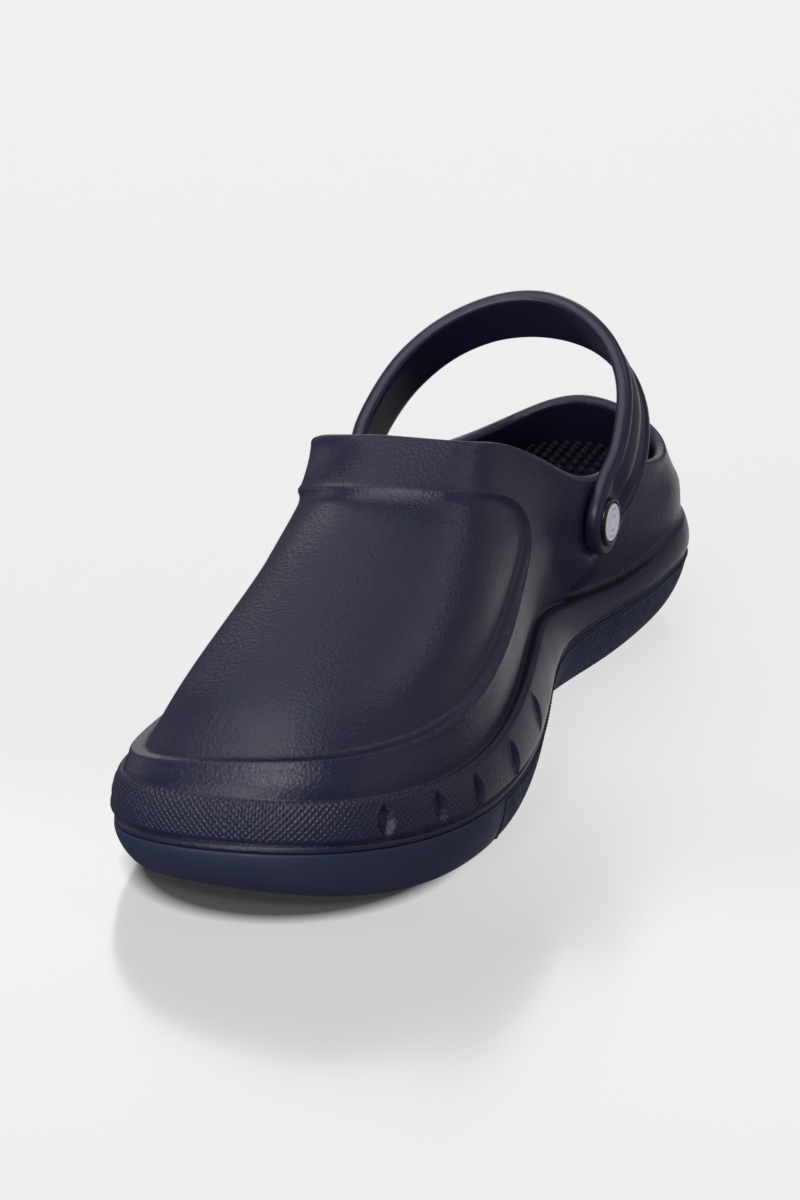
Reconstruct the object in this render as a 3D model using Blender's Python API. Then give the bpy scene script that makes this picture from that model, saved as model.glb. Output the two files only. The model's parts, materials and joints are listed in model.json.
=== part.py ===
"""Garden clog: a moulded foam shell on a bonded rubber outsole, with a drop-in insole and a heel strap
that swings on two rivets.

Frame: +Z is up, the toe points to -Y and the heel to +Y. +X is the arch (inner) side of this right-foot clog.
The origin is on the ground under the middle of the clog. Lengths are in metres.
"""
import bpy
import bmesh
import math
import numpy as np
from mathutils import Matrix

MM = 0.001

# Driving dimensions
CLOG_LENGTH = 0.287          # heel to toe along the foxing
CLOG_WIDTH = 0.0990          # across the ball of the foot
COLLAR_HEIGHT = 0.090        # front of the opening above the ground
FOXING_HEIGHT = 0.0315       # top of the foxing band at the toe
SHELL_WALL = 0.0038          # thickness of the foam upper
SOLE_WEB = 0.0060            # foam between the outsole and the footbed
OUTSOLE_EDGE = 0.0008        # rounding where outsole and foxing meet
INSOLE_THICKNESS = 0.0040
INSOLE_EDGE_GAP = 0.0009     # drop-in clearance round the insole
INSOLE_FLOOR_GAP = 0.0005
SEAT_GAP = 0.0003            # clearance between pieces that touch

PIVOT_BACK = 0.0506          # rivet axis behind the middle of the clog, as drawn
PIVOT_HEIGHT = 0.0507        # rivet axis above the ground
PAD_SPACING = 0.0700         # between the outer faces of the two flat rivet pads
PAD_RADIUS = 0.0120          # flat round each rivet
PAD_BLEND = 0.0100           # width of the blend from the pad into the wall

STRAP_THICKNESS = 0.0034
STRAP_WIDTH = 0.0190
STRAP_EDGE = 0.0009          # chamfer of the strap edges
STRAP_REACH = 0.0675         # pivot to the middle of the arch
STRAP_LEAN = 52.0            # degrees back from upright at rest
STRAP_PAD_GAP = 0.0004       # running clearance between strap and shell

SHANK_DIAMETER = 0.0052
SHANK_CLEARANCE = 0.0003     # radial, in the strap and the shell
RIVET_DIAMETER = 0.0145
RIVET_THICKNESS = 0.0022
RIVET_ROUNDING = 0.0006
BADGE_DIAMETER = 0.0106
BADGE_DEPTH = 0.0009
CAP_DIAMETER = 0.0130
CAP_THICKNESS = 0.0040
CAP_FLOOR = 0.0012           # closed end of the cap over the shank

RING_POINTS = 60           # steps round the clog
UPPER_STEPS = 10           # steps from the foxing up to the rim
STRAP_STEPS = 3            # steps between the strap's drawn points
TURNED_SEGMENTS = 32       # steps round each rivet

# The clog is drawn in millimetres on stations round its edge and scaled to the driving dimensions above.
DRAWN_LENGTH = 287.0
DRAWN_WIDTH = 99.0
DRAWN_COLLAR = 90.0
DRAWN_FOXING = 31.5
COLUMNS = ("x", "y", "parting", "foxing", "lean", "groove", "tuck",
           "rim_x", "rim_y", "rim_z", "rise", "reach", "drop")
# x, y      plan of the edge where foxing meets outsole
# parting   height of that edge; foxing: height of the top of the foxing
# lean      how far the foxing top is set in; groove: how far the upper starts in; tuck: outsole bottom set in
# rim       edge of the opening; rise: height of the straight wall above the foxing
# reach     how far the surface runs level before the rim, and drop: how steeply it comes up to it
STATIONS = (
    ("toe",              6.0, -142.0, 18.5, 31.5, 1.4, 2.6, 6.5,   3.0, -15.0, 90.0, 17.0, 56.0, 26.0),
    ("toe_arch",        36.5, -130.0, 17.3, 30.7, 1.4, 2.6, 5.0,  14.0, -14.0, 90.0, 19.0, 46.0, 24.0),
    ("ball_front",      52.5,  -95.5, 14.3, 28.3, 2.2, 3.6, 2.0,  23.0, -10.0, 89.0, 24.0, 30.0, 22.0),
    ("ball",            53.0,  -50.5, 13.7, 30.0, 3.0, 5.5, 1.5,  28.5,   2.0, 84.5, 24.0, 12.0, 19.0),
    ("arch_front",      43.0,   -6.0, 16.0, 34.5, 3.0, 6.0, 3.0,  33.0,  21.0, 75.8, 18.0,  3.0, 16.0),
    ("arch",            35.8,   28.5, 20.0, 32.0, 3.0, 6.0, 8.0,  34.8,  47.0, 65.3, 12.0,  1.5, 12.0),
    ("waist",           38.7,   68.0, 20.0, 27.0, 3.0, 6.5, 10.0, 34.9,  78.0, 56.5, 11.0,  1.5, 10.0),
    ("heel_arch",       39.8,  104.5, 19.8, 27.0, 3.0, 5.0, 9.0,  33.5, 107.0, 50.5, 10.0,  3.5, 11.0),
    ("heel_corner_arch", 31.5, 134.0, 19.6, 28.0, 3.0, 4.0, 7.5,  23.5, 129.0, 53.0, 10.0,  4.0, 13.0),
    ("heel",             0.4,  145.0, 19.4, 28.4, 3.0, 4.0, 6.5,   0.5, 137.3, 58.5, 11.0,  4.0, 14.0),
    ("heel_corner_outer", -31.0, 134.0, 19.6, 28.0, 3.0, 4.0, 7.0, -20.5, 129.5, 52.0, 10.0, 4.0, 13.0),
    ("heel_outer",     -40.0,  104.5, 19.0, 27.0, 3.0, 5.0, 8.0, -31.5, 107.0, 49.5, 10.0,  3.5, 11.0),
    ("waist_outer",    -40.0,   66.0, 18.5, 28.0, 3.0, 6.0, 8.0, -34.6,  78.0, 54.5, 11.0,  1.5, 10.0),
    ("mid_outer",      -42.0,   25.0, 18.5, 31.5, 3.0, 6.0, 5.5, -34.3,  46.0, 62.5, 14.0,  1.5, 12.0),
    ("ball_back_outer", -44.5, -18.0, 16.0, 31.0, 3.0, 6.0, 3.5, -31.0,  20.0, 72.5, 10.0,  2.0, 16.0),
    ("ball_outer",     -43.0,  -56.0, 13.7, 29.0, 2.8, 6.0, 2.0, -26.0,  -1.0, 81.5,  4.0,  3.0, 18.0),
    ("front_outer",    -38.5,  -95.0, 14.5, 28.5, 2.2, 4.0, 2.0, -20.0, -12.0, 86.5,  4.0,  2.5, 20.0),
    ("toe_outer",      -29.0, -131.0, 17.3, 30.5, 1.4, 2.6, 5.0,  -8.5, -15.2, 89.0, 10.0, 26.0, 20.0),
)
PLAN_CENTRE = (4.95, 1.5)    # middle of the drawn plan, which becomes the origin
SOLE_MIDDLE = 15.0           # drawn height of the parting surface under the foot
TOE_SPRING = 7.0             # drawn lift of the tread at the toe tip
TOE_SPRING_START = -95.0     # drawn y where the tread starts to lift

# Half of the strap's centre line, as (half spacing, reach) fractions from the pivot to the top of the arch
STRAP_HALF = ((1.0, 0.0), (1.0, 0.115), (1.03, 0.26), (1.0, 0.45), (0.875, 0.668),
              (0.635, 0.852), (0.33, 0.963), (0.0, 1.0))

MATERIALS = {
    # name: (base colour, roughness, metallic)
    "navy_foam": ((0.020, 0.022, 0.045), 0.55, 0.0),
    "navy_rubber": ((0.026, 0.030, 0.065), 0.60, 0.0),
    "dark_foam": ((0.012, 0.013, 0.024), 0.70, 0.0),
    "strap_foam": ((0.020, 0.022, 0.045), 0.50, 0.0),
    "black_plastic": ((0.008, 0.008, 0.009), 0.30, 0.0),
    "pale_plastic": ((0.62, 0.60, 0.72), 0.35, 0.0),
}


def clear_scene():
    """Start from an empty scene."""
    for item in list(bpy.data.objects):
        bpy.data.objects.remove(item, do_unlink=True)


def material(name):
    """A plain surface with the colour and sheen of the named material."""
    found = bpy.data.materials.get(name)
    if found:
        return found
    colour, roughness, metallic = MATERIALS[name]
    made = bpy.data.materials.new(name)
    made.use_nodes = True
    surface = made.node_tree.nodes["Principled BSDF"]
    surface.inputs["Base Color"].default_value = (*colour, 1.0)
    surface.inputs["Roughness"].default_value = roughness
    surface.inputs["Metallic"].default_value = metallic
    return made


def add_object(name, vertices, faces, material_name, origin=(0.0, 0.0, 0.0), smooth=True):
    """Make one named mesh object whose vertices are given in the shared frame."""
    origin = np.asarray(origin, float)
    mesh = bpy.data.meshes.new(name)
    mesh.from_pydata([tuple(point - origin) for point in np.asarray(vertices)], [], faces)
    mesh.validate()
    mesh.update()
    mesh.materials.append(material(material_name))
    if smooth:
        mesh.shade_smooth()
    made = bpy.data.objects.new(name, mesh)
    made.location = tuple(origin)
    bpy.context.scene.collection.objects.link(made)
    return made


# ---------------------------------------------------------------- curves round the clog

def closed_spline(values, where):
    """Smooth closed curve through the rows of values, read at station numbers where."""
    count = len(values)
    spread = np.zeros((count, count))
    for row in range(count):
        spread[row, row] = 4.0
        spread[row, (row + 1) % count] = 1.0
        spread[row, (row - 1) % count] = 1.0
    slopes = np.linalg.solve(spread, 3.0 * (np.roll(values, -1, 0) - np.roll(values, 1, 0)))
    start = np.floor(where).astype(int) % count
    end = (start + 1) % count
    t = (where - np.floor(where))[:, None]
    return (values[start] * (1 + 2 * t) * (1 - t) ** 2 + slopes[start] * t * (1 - t) ** 2
            + values[end] * t * t * (3 - 2 * t) + slopes[end] * t * t * (t - 1))


def station_curves(count):
    """The station values read at count even steps round the clog, in metres, as a dictionary."""
    table = np.array([row[1:] for row in STATIONS], float)
    values = closed_spline(table, np.arange(count) * len(table) / count).T
    curves = dict(zip(COLUMNS, values))
    across = CLOG_WIDTH / DRAWN_WIDTH
    along = CLOG_LENGTH / DRAWN_LENGTH
    for key in ("x", "rim_x"):
        curves[key] = (curves[key] - PLAN_CENTRE[0]) * across
    for key in ("y", "rim_y"):
        curves[key] = (curves[key] - PLAN_CENTRE[1]) * along
    for key in ("parting", "foxing"):
        curves[key] = curves[key] * FOXING_HEIGHT / DRAWN_FOXING
    for key in ("rim_z", "rise", "drop"):
        curves[key] = curves[key] * COLLAR_HEIGHT / DRAWN_COLLAR
    for key in ("lean", "groove", "tuck", "reach"):
        curves[key] = curves[key] * MM
    return curves


def inward(curves):
    """Unit plan vectors pointing into the clog, square to its edge."""
    plan = np.column_stack([curves["x"], curves["y"]])
    along = np.roll(plan, -1, 0) - np.roll(plan, 1, 0)
    normal = np.column_stack([-along[:, 1], along[:, 0]])
    return normal / np.linalg.norm(normal, axis=1, keepdims=True)


def edge_ring(curves, inset, height):
    """A ring set in from the edge of the clog by inset, at the given height."""
    plan = np.column_stack([curves["x"], curves["y"]]) + inward(curves) * np.reshape(inset, (-1, 1))
    return np.column_stack([plan, np.broadcast_to(height, len(plan))])


def dished_ring(ring, share, middle):
    """The ring drawn in to a share of its size, its height easing from the edge to the middle height."""
    centre = plan_point(0.0, 0.0)
    inner = ring.copy()
    inner[:, :2] = centre + (ring[:, :2] - centre) * share
    inner[:, 2] = middle + (ring[:, 2] - middle) * share ** 2
    return inner


def plan_point(x, y):
    """A drawn plan position in metres from the origin."""
    return np.array([(x - PLAN_CENTRE[0]) * CLOG_WIDTH / DRAWN_WIDTH,
                     (y - PLAN_CENTRE[1]) * CLOG_LENGTH / DRAWN_LENGTH])


def sole_middle():
    """Height of the parting surface under the middle of the foot."""
    return SOLE_MIDDLE * FOXING_HEIGHT / DRAWN_FOXING


def upper_surface(curves, steps):
    """Outer surface of the upper as rings, from the groove above the foxing (0) to the rim (1)."""
    base = edge_ring(curves, curves["groove"], curves["foxing"])
    rim = np.column_stack([curves["rim_x"], curves["rim_y"], curves["rim_z"]])
    run = base[:, :2] - rim[:, :2]
    run /= np.linalg.norm(run, axis=1, keepdims=True)
    above_base = base.copy()
    above_base[:, 2] += curves["rise"]
    before_rim = rim.copy()
    before_rim[:, :2] += run * curves["reach"][:, None]
    before_rim[:, 2] -= curves["drop"]
    t = np.reshape(steps, (-1, 1, 1))
    return (base * (1 - t) ** 3 + above_base * 3 * t * (1 - t) ** 2
            + before_rim * 3 * t * t * (1 - t) + rim * t ** 3)


def outward(surface):
    """Unit normals of a grid of rings."""
    round_it = np.roll(surface, -1, 1) - np.roll(surface, 1, 1)
    up_it = np.gradient(surface, axis=0)
    normal = np.cross(round_it, up_it)
    return normal / np.linalg.norm(normal, axis=2, keepdims=True)


def flat_pads(surface, half_spacing):
    """Ease the wall round each rivet onto flat pads square to the rivet axis."""
    pivot = pivot_point()
    eased = surface.copy()
    far = np.hypot(surface[..., 1] - pivot[1], surface[..., 2] - pivot[2])
    pull = 1.0 - np.clip((far - PAD_RADIUS) / PAD_BLEND, 0.0, 1.0)
    pull = pull * pull * (3 - 2 * pull)
    side = np.sign(surface[..., 0] - pivot[0])
    target = pivot[0] + side * half_spacing
    eased[..., 0] += (target - surface[..., 0]) * pull
    return eased


def pivot_point():
    """Middle of the rivet axis."""
    return np.array([*plan_point(0.0, PIVOT_BACK / MM), PIVOT_HEIGHT])


# ---------------------------------------------------------------- solids

def lofted(name, rings, material_name):
    """Closed solid through rings, ended by a point at each end."""
    rings = [np.asarray(ring) for ring in rings]
    count = len(rings[0])
    vertices = [rings[0].mean(0)]
    for ring in rings:
        vertices.extend(ring)
    vertices.append(rings[-1].mean(0))
    last = len(vertices) - 1
    faces = []
    for step in range(count):
        after = (step + 1) % count
        faces.append((0, 1 + after, 1 + step))
        for level in range(len(rings) - 1):
            low = 1 + level * count
            high = low + count
            faces.append((low + step, low + after, high + after, high + step))
        top = 1 + (len(rings) - 1) * count
        faces.append((top + step, top + after, last))
    return add_object(name, vertices, faces, material_name)


def turned(name, profile, side, material_name):
    """Solid turned about the rivet axis. The profile is (distance from the clog middle, radius) pairs."""
    pivot = pivot_point()
    angles = np.arange(TURNED_SEGMENTS) * 2 * math.pi / TURNED_SEGMENTS
    rings = []
    for distance, radius in profile:
        rings.append(np.column_stack([np.full(TURNED_SEGMENTS, pivot[0] + side * distance),
                                      pivot[1] + radius * np.cos(angles) * side,
                                      pivot[2] + radius * np.sin(angles)]))
    return lofted(name, rings, material_name)


def axle_cutter(name, radius):
    """Hidden rod along the rivet axis, wider than the clog."""
    pivot = pivot_point()
    angles = np.arange(TURNED_SEGMENTS) * 2 * math.pi / TURNED_SEGMENTS
    rings = []
    for distance in (-CLOG_WIDTH, CLOG_WIDTH):
        rings.append(np.column_stack([np.full(TURNED_SEGMENTS, pivot[0] + distance),
                                      pivot[1] + radius * np.cos(angles),
                                      pivot[2] + radius * np.sin(angles)]))
    cutter = lofted(name, rings, "black_plastic")
    cutter.hide_render = True
    cutter.display_type = "WIRE"
    return cutter


def bore(target, cutter):
    """Cut the cutter out of the target."""
    cut = target.modifiers.new("bore", "BOOLEAN")
    cut.operation = "DIFFERENCE"
    cut.solver = "EXACT"
    cut.object = cutter


def make_shell(curves):
    """One-piece foam shell: foxing, upper, rolled rim, lining wall and footbed floor."""
    seam = edge_ring(curves, OUTSOLE_EDGE, curves["parting"] + SEAT_GAP / 2)
    rings = [dished_ring(seam, share, sole_middle() + SEAT_GAP / 2) for share in (0.15, 0.45, 0.75, 0.93)]
    rings.append(seam)
    band = curves["foxing"] - curves["parting"]
    rings.append(edge_ring(curves, 0.0, curves["parting"] + 2 * OUTSOLE_EDGE))
    rings.append(edge_ring(curves, curves["lean"] * 0.25, curves["parting"] + band * 0.5))
    rings.append(edge_ring(curves, curves["lean"] * 0.8, curves["foxing"] - OUTSOLE_EDGE))
    rings.append(edge_ring(curves, curves["lean"] + OUTSOLE_EDGE, curves["foxing"]))

    steps = np.concatenate([[0.0, 0.04], np.linspace(0.10, 1.0, UPPER_STEPS)])
    outside = upper_surface(curves, steps)
    normals = outward(outside)
    outer = flat_pads(outside, PAD_SPACING / 2)
    rings.extend(outer)
    lip = outer[-1] - normals[-1] * SHELL_WALL / 2
    lip_run = outside[-1] - outside[-2]
    lip += lip_run / np.linalg.norm(lip_run, axis=1, keepdims=True) * SHELL_WALL * 0.4
    rings.append(lip)
    inner = flat_pads(outside - normals * SHELL_WALL, PAD_SPACING / 2 - SHELL_WALL)
    rings.extend(inner[:1:-1])

    floor_edge, floor_middle = footbed_floor(curves)
    wall_foot = edge_ring(curves, curves["groove"] + SHELL_WALL, 0.0)
    wall_foot[:, 2] = floor_edge[:, 2] + SHELL_WALL / 2
    rings.append(wall_foot)
    rings.append(floor_edge)
    rings.extend(dished_ring(floor_edge, share, floor_middle) for share in (0.85, 0.6, 0.35, 0.12))
    shell = lofted("shell", rings, "navy_foam")
    bore(shell, axle_cutter("shell_bore", SHANK_DIAMETER / 2 + SHANK_CLEARANCE))


def footbed_floor(curves):
    """Edge ring of the floor inside the shell, and the height of its middle."""
    inset = curves["groove"] + SHELL_WALL * 1.25
    edge = edge_ring(curves, inset, curves["parting"] + SOLE_WEB)
    return edge, sole_middle() + SOLE_WEB


def make_outsole(curves):
    """Rubber outsole bonded under the foxing, tucked in towards the tread and lifted at the toe."""
    seam = edge_ring(curves, OUTSOLE_EDGE, curves["parting"] - SEAT_GAP / 2)
    tread = edge_ring(curves, curves["tuck"] + OUTSOLE_EDGE, 0.0)
    start = plan_point(0.0, TOE_SPRING_START)[1]
    reach = start - curves["y"].min()
    lift = np.clip((start - tread[:, 1]) / reach, 0.0, 1.0) ** 2 * TOE_SPRING * MM
    tread[:, 2] = lift
    rings = [dished_ring(tread, share, 0.0) for share in (0.12, 0.5, 0.8)]
    for ring in rings:
        ring[:, 2] = np.clip((start - ring[:, 1]) / reach, 0.0, 1.0) ** 2 * TOE_SPRING * MM
    rings.append(tread)
    rings.append(edge_ring(curves, curves["tuck"] * 0.85, lift + 2 * OUTSOLE_EDGE))
    rings.append(edge_ring(curves, curves["tuck"] * 0.35, lift * 0.5 + curves["parting"] * 0.5))
    rings.append(edge_ring(curves, 0.0, curves["parting"] - 2 * OUTSOLE_EDGE))
    rings.append(seam)
    rings.extend(dished_ring(seam, share, sole_middle() - SEAT_GAP / 2) for share in (0.93, 0.75, 0.45, 0.15))
    lofted("outsole", rings, "navy_rubber")


def make_insole(curves):
    """Drop-in foam insole lying on the floor of the shell."""
    floor_edge, floor_middle = footbed_floor(curves)
    edge = floor_edge.copy()
    edge[:, :2] += inward(curves) * INSOLE_EDGE_GAP
    rounding = INSOLE_THICKNESS / 4
    rings = []
    for share in (0.12, 0.4, 0.7, 0.9):
        ring = dished_ring(edge, share, floor_middle)
        ring[:, 2] += INSOLE_FLOOR_GAP
        rings.append(ring)
    for height in (INSOLE_FLOOR_GAP, INSOLE_THICKNESS - rounding + INSOLE_FLOOR_GAP):
        ring = edge.copy()
        ring[:, 2] += height
        rings.append(ring)
    top = edge.copy()
    top[:, :2] += inward(curves) * rounding
    for share in (1.0, 0.9, 0.7, 0.4, 0.12):
        ring = dished_ring(top, share, floor_middle)
        ring[:, 2] += INSOLE_FLOOR_GAP + INSOLE_THICKNESS
        rings.append(ring)
    lofted("insole", rings, "dark_foam")


def strap_centre_half():
    """Distance of the strap's middle surface from the clog middle at the pivot."""
    return PAD_SPACING / 2 + STRAP_PAD_GAP + STRAP_THICKNESS / 2


def strap_centre_line():
    """Smooth arch from the arch-side pivot over the top to the outer pivot, as (across, reach) points."""
    half = np.array(STRAP_HALF) * (strap_centre_half(), STRAP_REACH)
    other = half[-2::-1] * (-1.0, 1.0)
    points = np.vstack([half, other])
    length = np.concatenate([[0.0], np.cumsum(np.linalg.norm(np.diff(points, axis=0), axis=1))])
    slopes = np.gradient(points, length, axis=0)
    slopes[0] = slopes[1] = (0.0, 1.0)
    slopes[-1] = slopes[-2] = (0.0, -1.0)
    fine = []
    for start in range(len(points) - 1):
        span = length[start + 1] - length[start]
        for t in np.arange(STRAP_STEPS) / STRAP_STEPS:
            fine.append(points[start] * (1 + 2 * t) * (1 - t) ** 2 + slopes[start] * span * t * (1 - t) ** 2
                        + points[start + 1] * t * t * (3 - 2 * t)
                        + slopes[start + 1] * span * t * t * (t - 1))
    fine.append(points[-1])
    return np.array(fine)


def strap_section(middle, sideways, across, half_width):
    """Eight-sided section of the strap band round a middle point."""
    half_thick = STRAP_THICKNESS / 2
    edge = min(STRAP_EDGE, half_width * 0.45)
    corners = ((-half_width, half_thick - edge), (-half_width + edge, half_thick),
               (half_width - edge, half_thick), (half_width, half_thick - edge),
               (half_width, edge - half_thick), (half_width - edge, -half_thick),
               (-half_width + edge, -half_thick), (-half_width, edge - half_thick))
    return np.array([middle + across * wide + sideways * thick for wide, thick in corners])


def make_heel_strap():
    """Foam strap: a band bent into an arch, with a round end and a bore at each rivet."""
    pivot = pivot_point()
    lean = math.radians(STRAP_LEAN)
    up_strap = np.array([0.0, math.sin(lean), math.cos(lean)])
    across = np.array([0.0, math.cos(lean), -math.sin(lean)])
    out = np.array([1.0, 0.0, 0.0])
    end_radius = STRAP_WIDTH / 2
    line = strap_centre_line()
    rings = []
    first = pivot + out * line[0][0]
    last = pivot + out * line[-1][0]
    for angle in (12.0, 30.0, 50.0, 70.0):
        drop = end_radius * math.cos(math.radians(angle))
        width = end_radius * math.sin(math.radians(angle))
        rings.append(strap_section(first - up_strap * drop, out, across, width))
    tangents = np.gradient(line, axis=0)
    for (sideways, reach), (run_x, run_r) in zip(line, tangents):
        size = math.hypot(run_x, run_r)
        facing = (out * run_r - up_strap * run_x) / size
        rings.append(strap_section(pivot + out * sideways + up_strap * reach, facing, across, end_radius))
    for angle in (70.0, 50.0, 30.0, 12.0):
        drop = end_radius * math.cos(math.radians(angle))
        width = end_radius * math.sin(math.radians(angle))
        rings.append(strap_section(last - up_strap * drop, -out, across, width))
    strap = lofted("heel_strap", rings, "strap_foam")
    strap.data.transform(Matrix.Translation(tuple(-pivot)))
    strap.location = tuple(pivot)
    bore(strap, axle_cutter("strap_bore", SHANK_DIAMETER / 2 + SHANK_CLEARANCE))


def make_rivets():
    """On each side a headed rivet through strap and shell, its pale badge, and the cap inside the shell."""
    strap_face = PAD_SPACING / 2 + 2 * STRAP_PAD_GAP + STRAP_THICKNESS
    head = RIVET_DIAMETER / 2
    shank = SHANK_DIAMETER / 2
    face = strap_face + RIVET_THICKNESS
    recess = BADGE_DIAMETER / 2 + SEAT_GAP
    recess_floor = face - BADGE_DEPTH
    wall_inside = PAD_SPACING / 2 - SHELL_WALL
    cap_seat = wall_inside - SEAT_GAP
    cap_end = cap_seat - CAP_THICKNESS
    shank_end = cap_end + CAP_FLOOR + SEAT_GAP
    for side_name, side in (("arch", 1.0), ("outer", -1.0)):
        head_profile = ((shank_end, shank * 0.85), (shank_end + RIVET_ROUNDING, shank),
                        (strap_face, shank), (strap_face, head - RIVET_ROUNDING),
                        (strap_face + RIVET_ROUNDING, head), (face - RIVET_ROUNDING, head),
                        (face, head - RIVET_ROUNDING), (face, recess), (recess_floor, recess),
                        (recess_floor, recess * 0.5))
        turned("rivet_" + side_name, head_profile, side, "black_plastic")
        badge = BADGE_DIAMETER / 2
        badge_profile = ((recess_floor + SEAT_GAP, badge * 0.5), (recess_floor + SEAT_GAP, badge),
                         (face, badge), (face + SEAT_GAP, badge * 0.8), (face + SEAT_GAP, badge * 0.3))
        turned("rivet_badge_" + side_name, badge_profile, side, "pale_plastic")
        cap = CAP_DIAMETER / 2
        bore_radius = shank + SEAT_GAP
        cap_profile = ((cap_end, cap * 0.4), (cap_end, cap * 0.7), (cap_end + CAP_FLOOR, cap - RIVET_ROUNDING),
                       (cap_seat - RIVET_ROUNDING, cap), (cap_seat, cap - RIVET_ROUNDING),
                       (cap_seat, bore_radius), (cap_end + CAP_FLOOR, bore_radius),
                       (cap_end + CAP_FLOOR, bore_radius * 0.5))
        turned("rivet_cap_" + side_name, cap_profile, side, "black_plastic")


def main():
    clear_scene()
    curves = station_curves(RING_POINTS)
    make_shell(curves)
    make_outsole(curves)
    make_insole(curves)
    make_heel_strap()
    make_rivets()


main()
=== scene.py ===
"""Garden clog: a moulded foam clog with a rubber outsole, a nubbed insole and a riveted heel strap.

Run as a script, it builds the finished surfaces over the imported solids, and a plain stage.
"""
import json
import math

import bpy
import numpy as np
from bpy.props import FloatProperty, FloatVectorProperty, IntProperty, PointerProperty
from bpy.types import Operator, Panel, PropertyGroup
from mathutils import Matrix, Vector


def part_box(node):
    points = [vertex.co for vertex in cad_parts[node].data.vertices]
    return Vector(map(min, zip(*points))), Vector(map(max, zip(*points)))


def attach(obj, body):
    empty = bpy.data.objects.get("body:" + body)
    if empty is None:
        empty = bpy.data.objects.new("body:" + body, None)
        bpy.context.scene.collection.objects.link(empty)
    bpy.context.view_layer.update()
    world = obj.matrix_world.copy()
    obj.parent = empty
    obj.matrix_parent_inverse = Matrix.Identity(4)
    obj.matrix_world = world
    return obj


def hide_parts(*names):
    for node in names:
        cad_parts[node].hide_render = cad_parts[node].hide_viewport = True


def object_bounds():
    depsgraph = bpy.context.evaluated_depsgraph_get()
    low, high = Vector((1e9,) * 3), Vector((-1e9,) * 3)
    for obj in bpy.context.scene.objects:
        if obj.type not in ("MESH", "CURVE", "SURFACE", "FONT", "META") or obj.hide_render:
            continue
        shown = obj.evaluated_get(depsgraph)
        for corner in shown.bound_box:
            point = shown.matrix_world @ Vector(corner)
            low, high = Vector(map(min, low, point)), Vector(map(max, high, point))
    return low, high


bl_info = {
    "name": "Garden clog",
    "version": (1, 0, 0),
    "blender": (4, 5, 0),
    "location": "3D View > Sidebar > Clog",
    "description": "Builds a moulded foam garden clog over its packed solids",
    "category": "Object",
}

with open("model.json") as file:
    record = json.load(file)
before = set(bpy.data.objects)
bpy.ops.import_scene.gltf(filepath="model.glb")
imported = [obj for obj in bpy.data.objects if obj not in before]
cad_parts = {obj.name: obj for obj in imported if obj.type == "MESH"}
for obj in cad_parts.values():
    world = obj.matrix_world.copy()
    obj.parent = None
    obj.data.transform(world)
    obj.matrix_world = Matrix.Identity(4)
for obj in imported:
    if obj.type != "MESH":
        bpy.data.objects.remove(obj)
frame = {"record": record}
CAD_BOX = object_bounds()
MM = 0.001

# The clog is drawn in millimetres on stations round its edge, from the toe along the arch side to the heel
# and back along the outer side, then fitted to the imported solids.
COLUMNS = ("x", "y", "parting", "foxing", "lean", "groove", "tuck",
           "rim_x", "rim_y", "rim_z", "rise", "reach", "drop", "panel_low", "panel_high")
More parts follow.
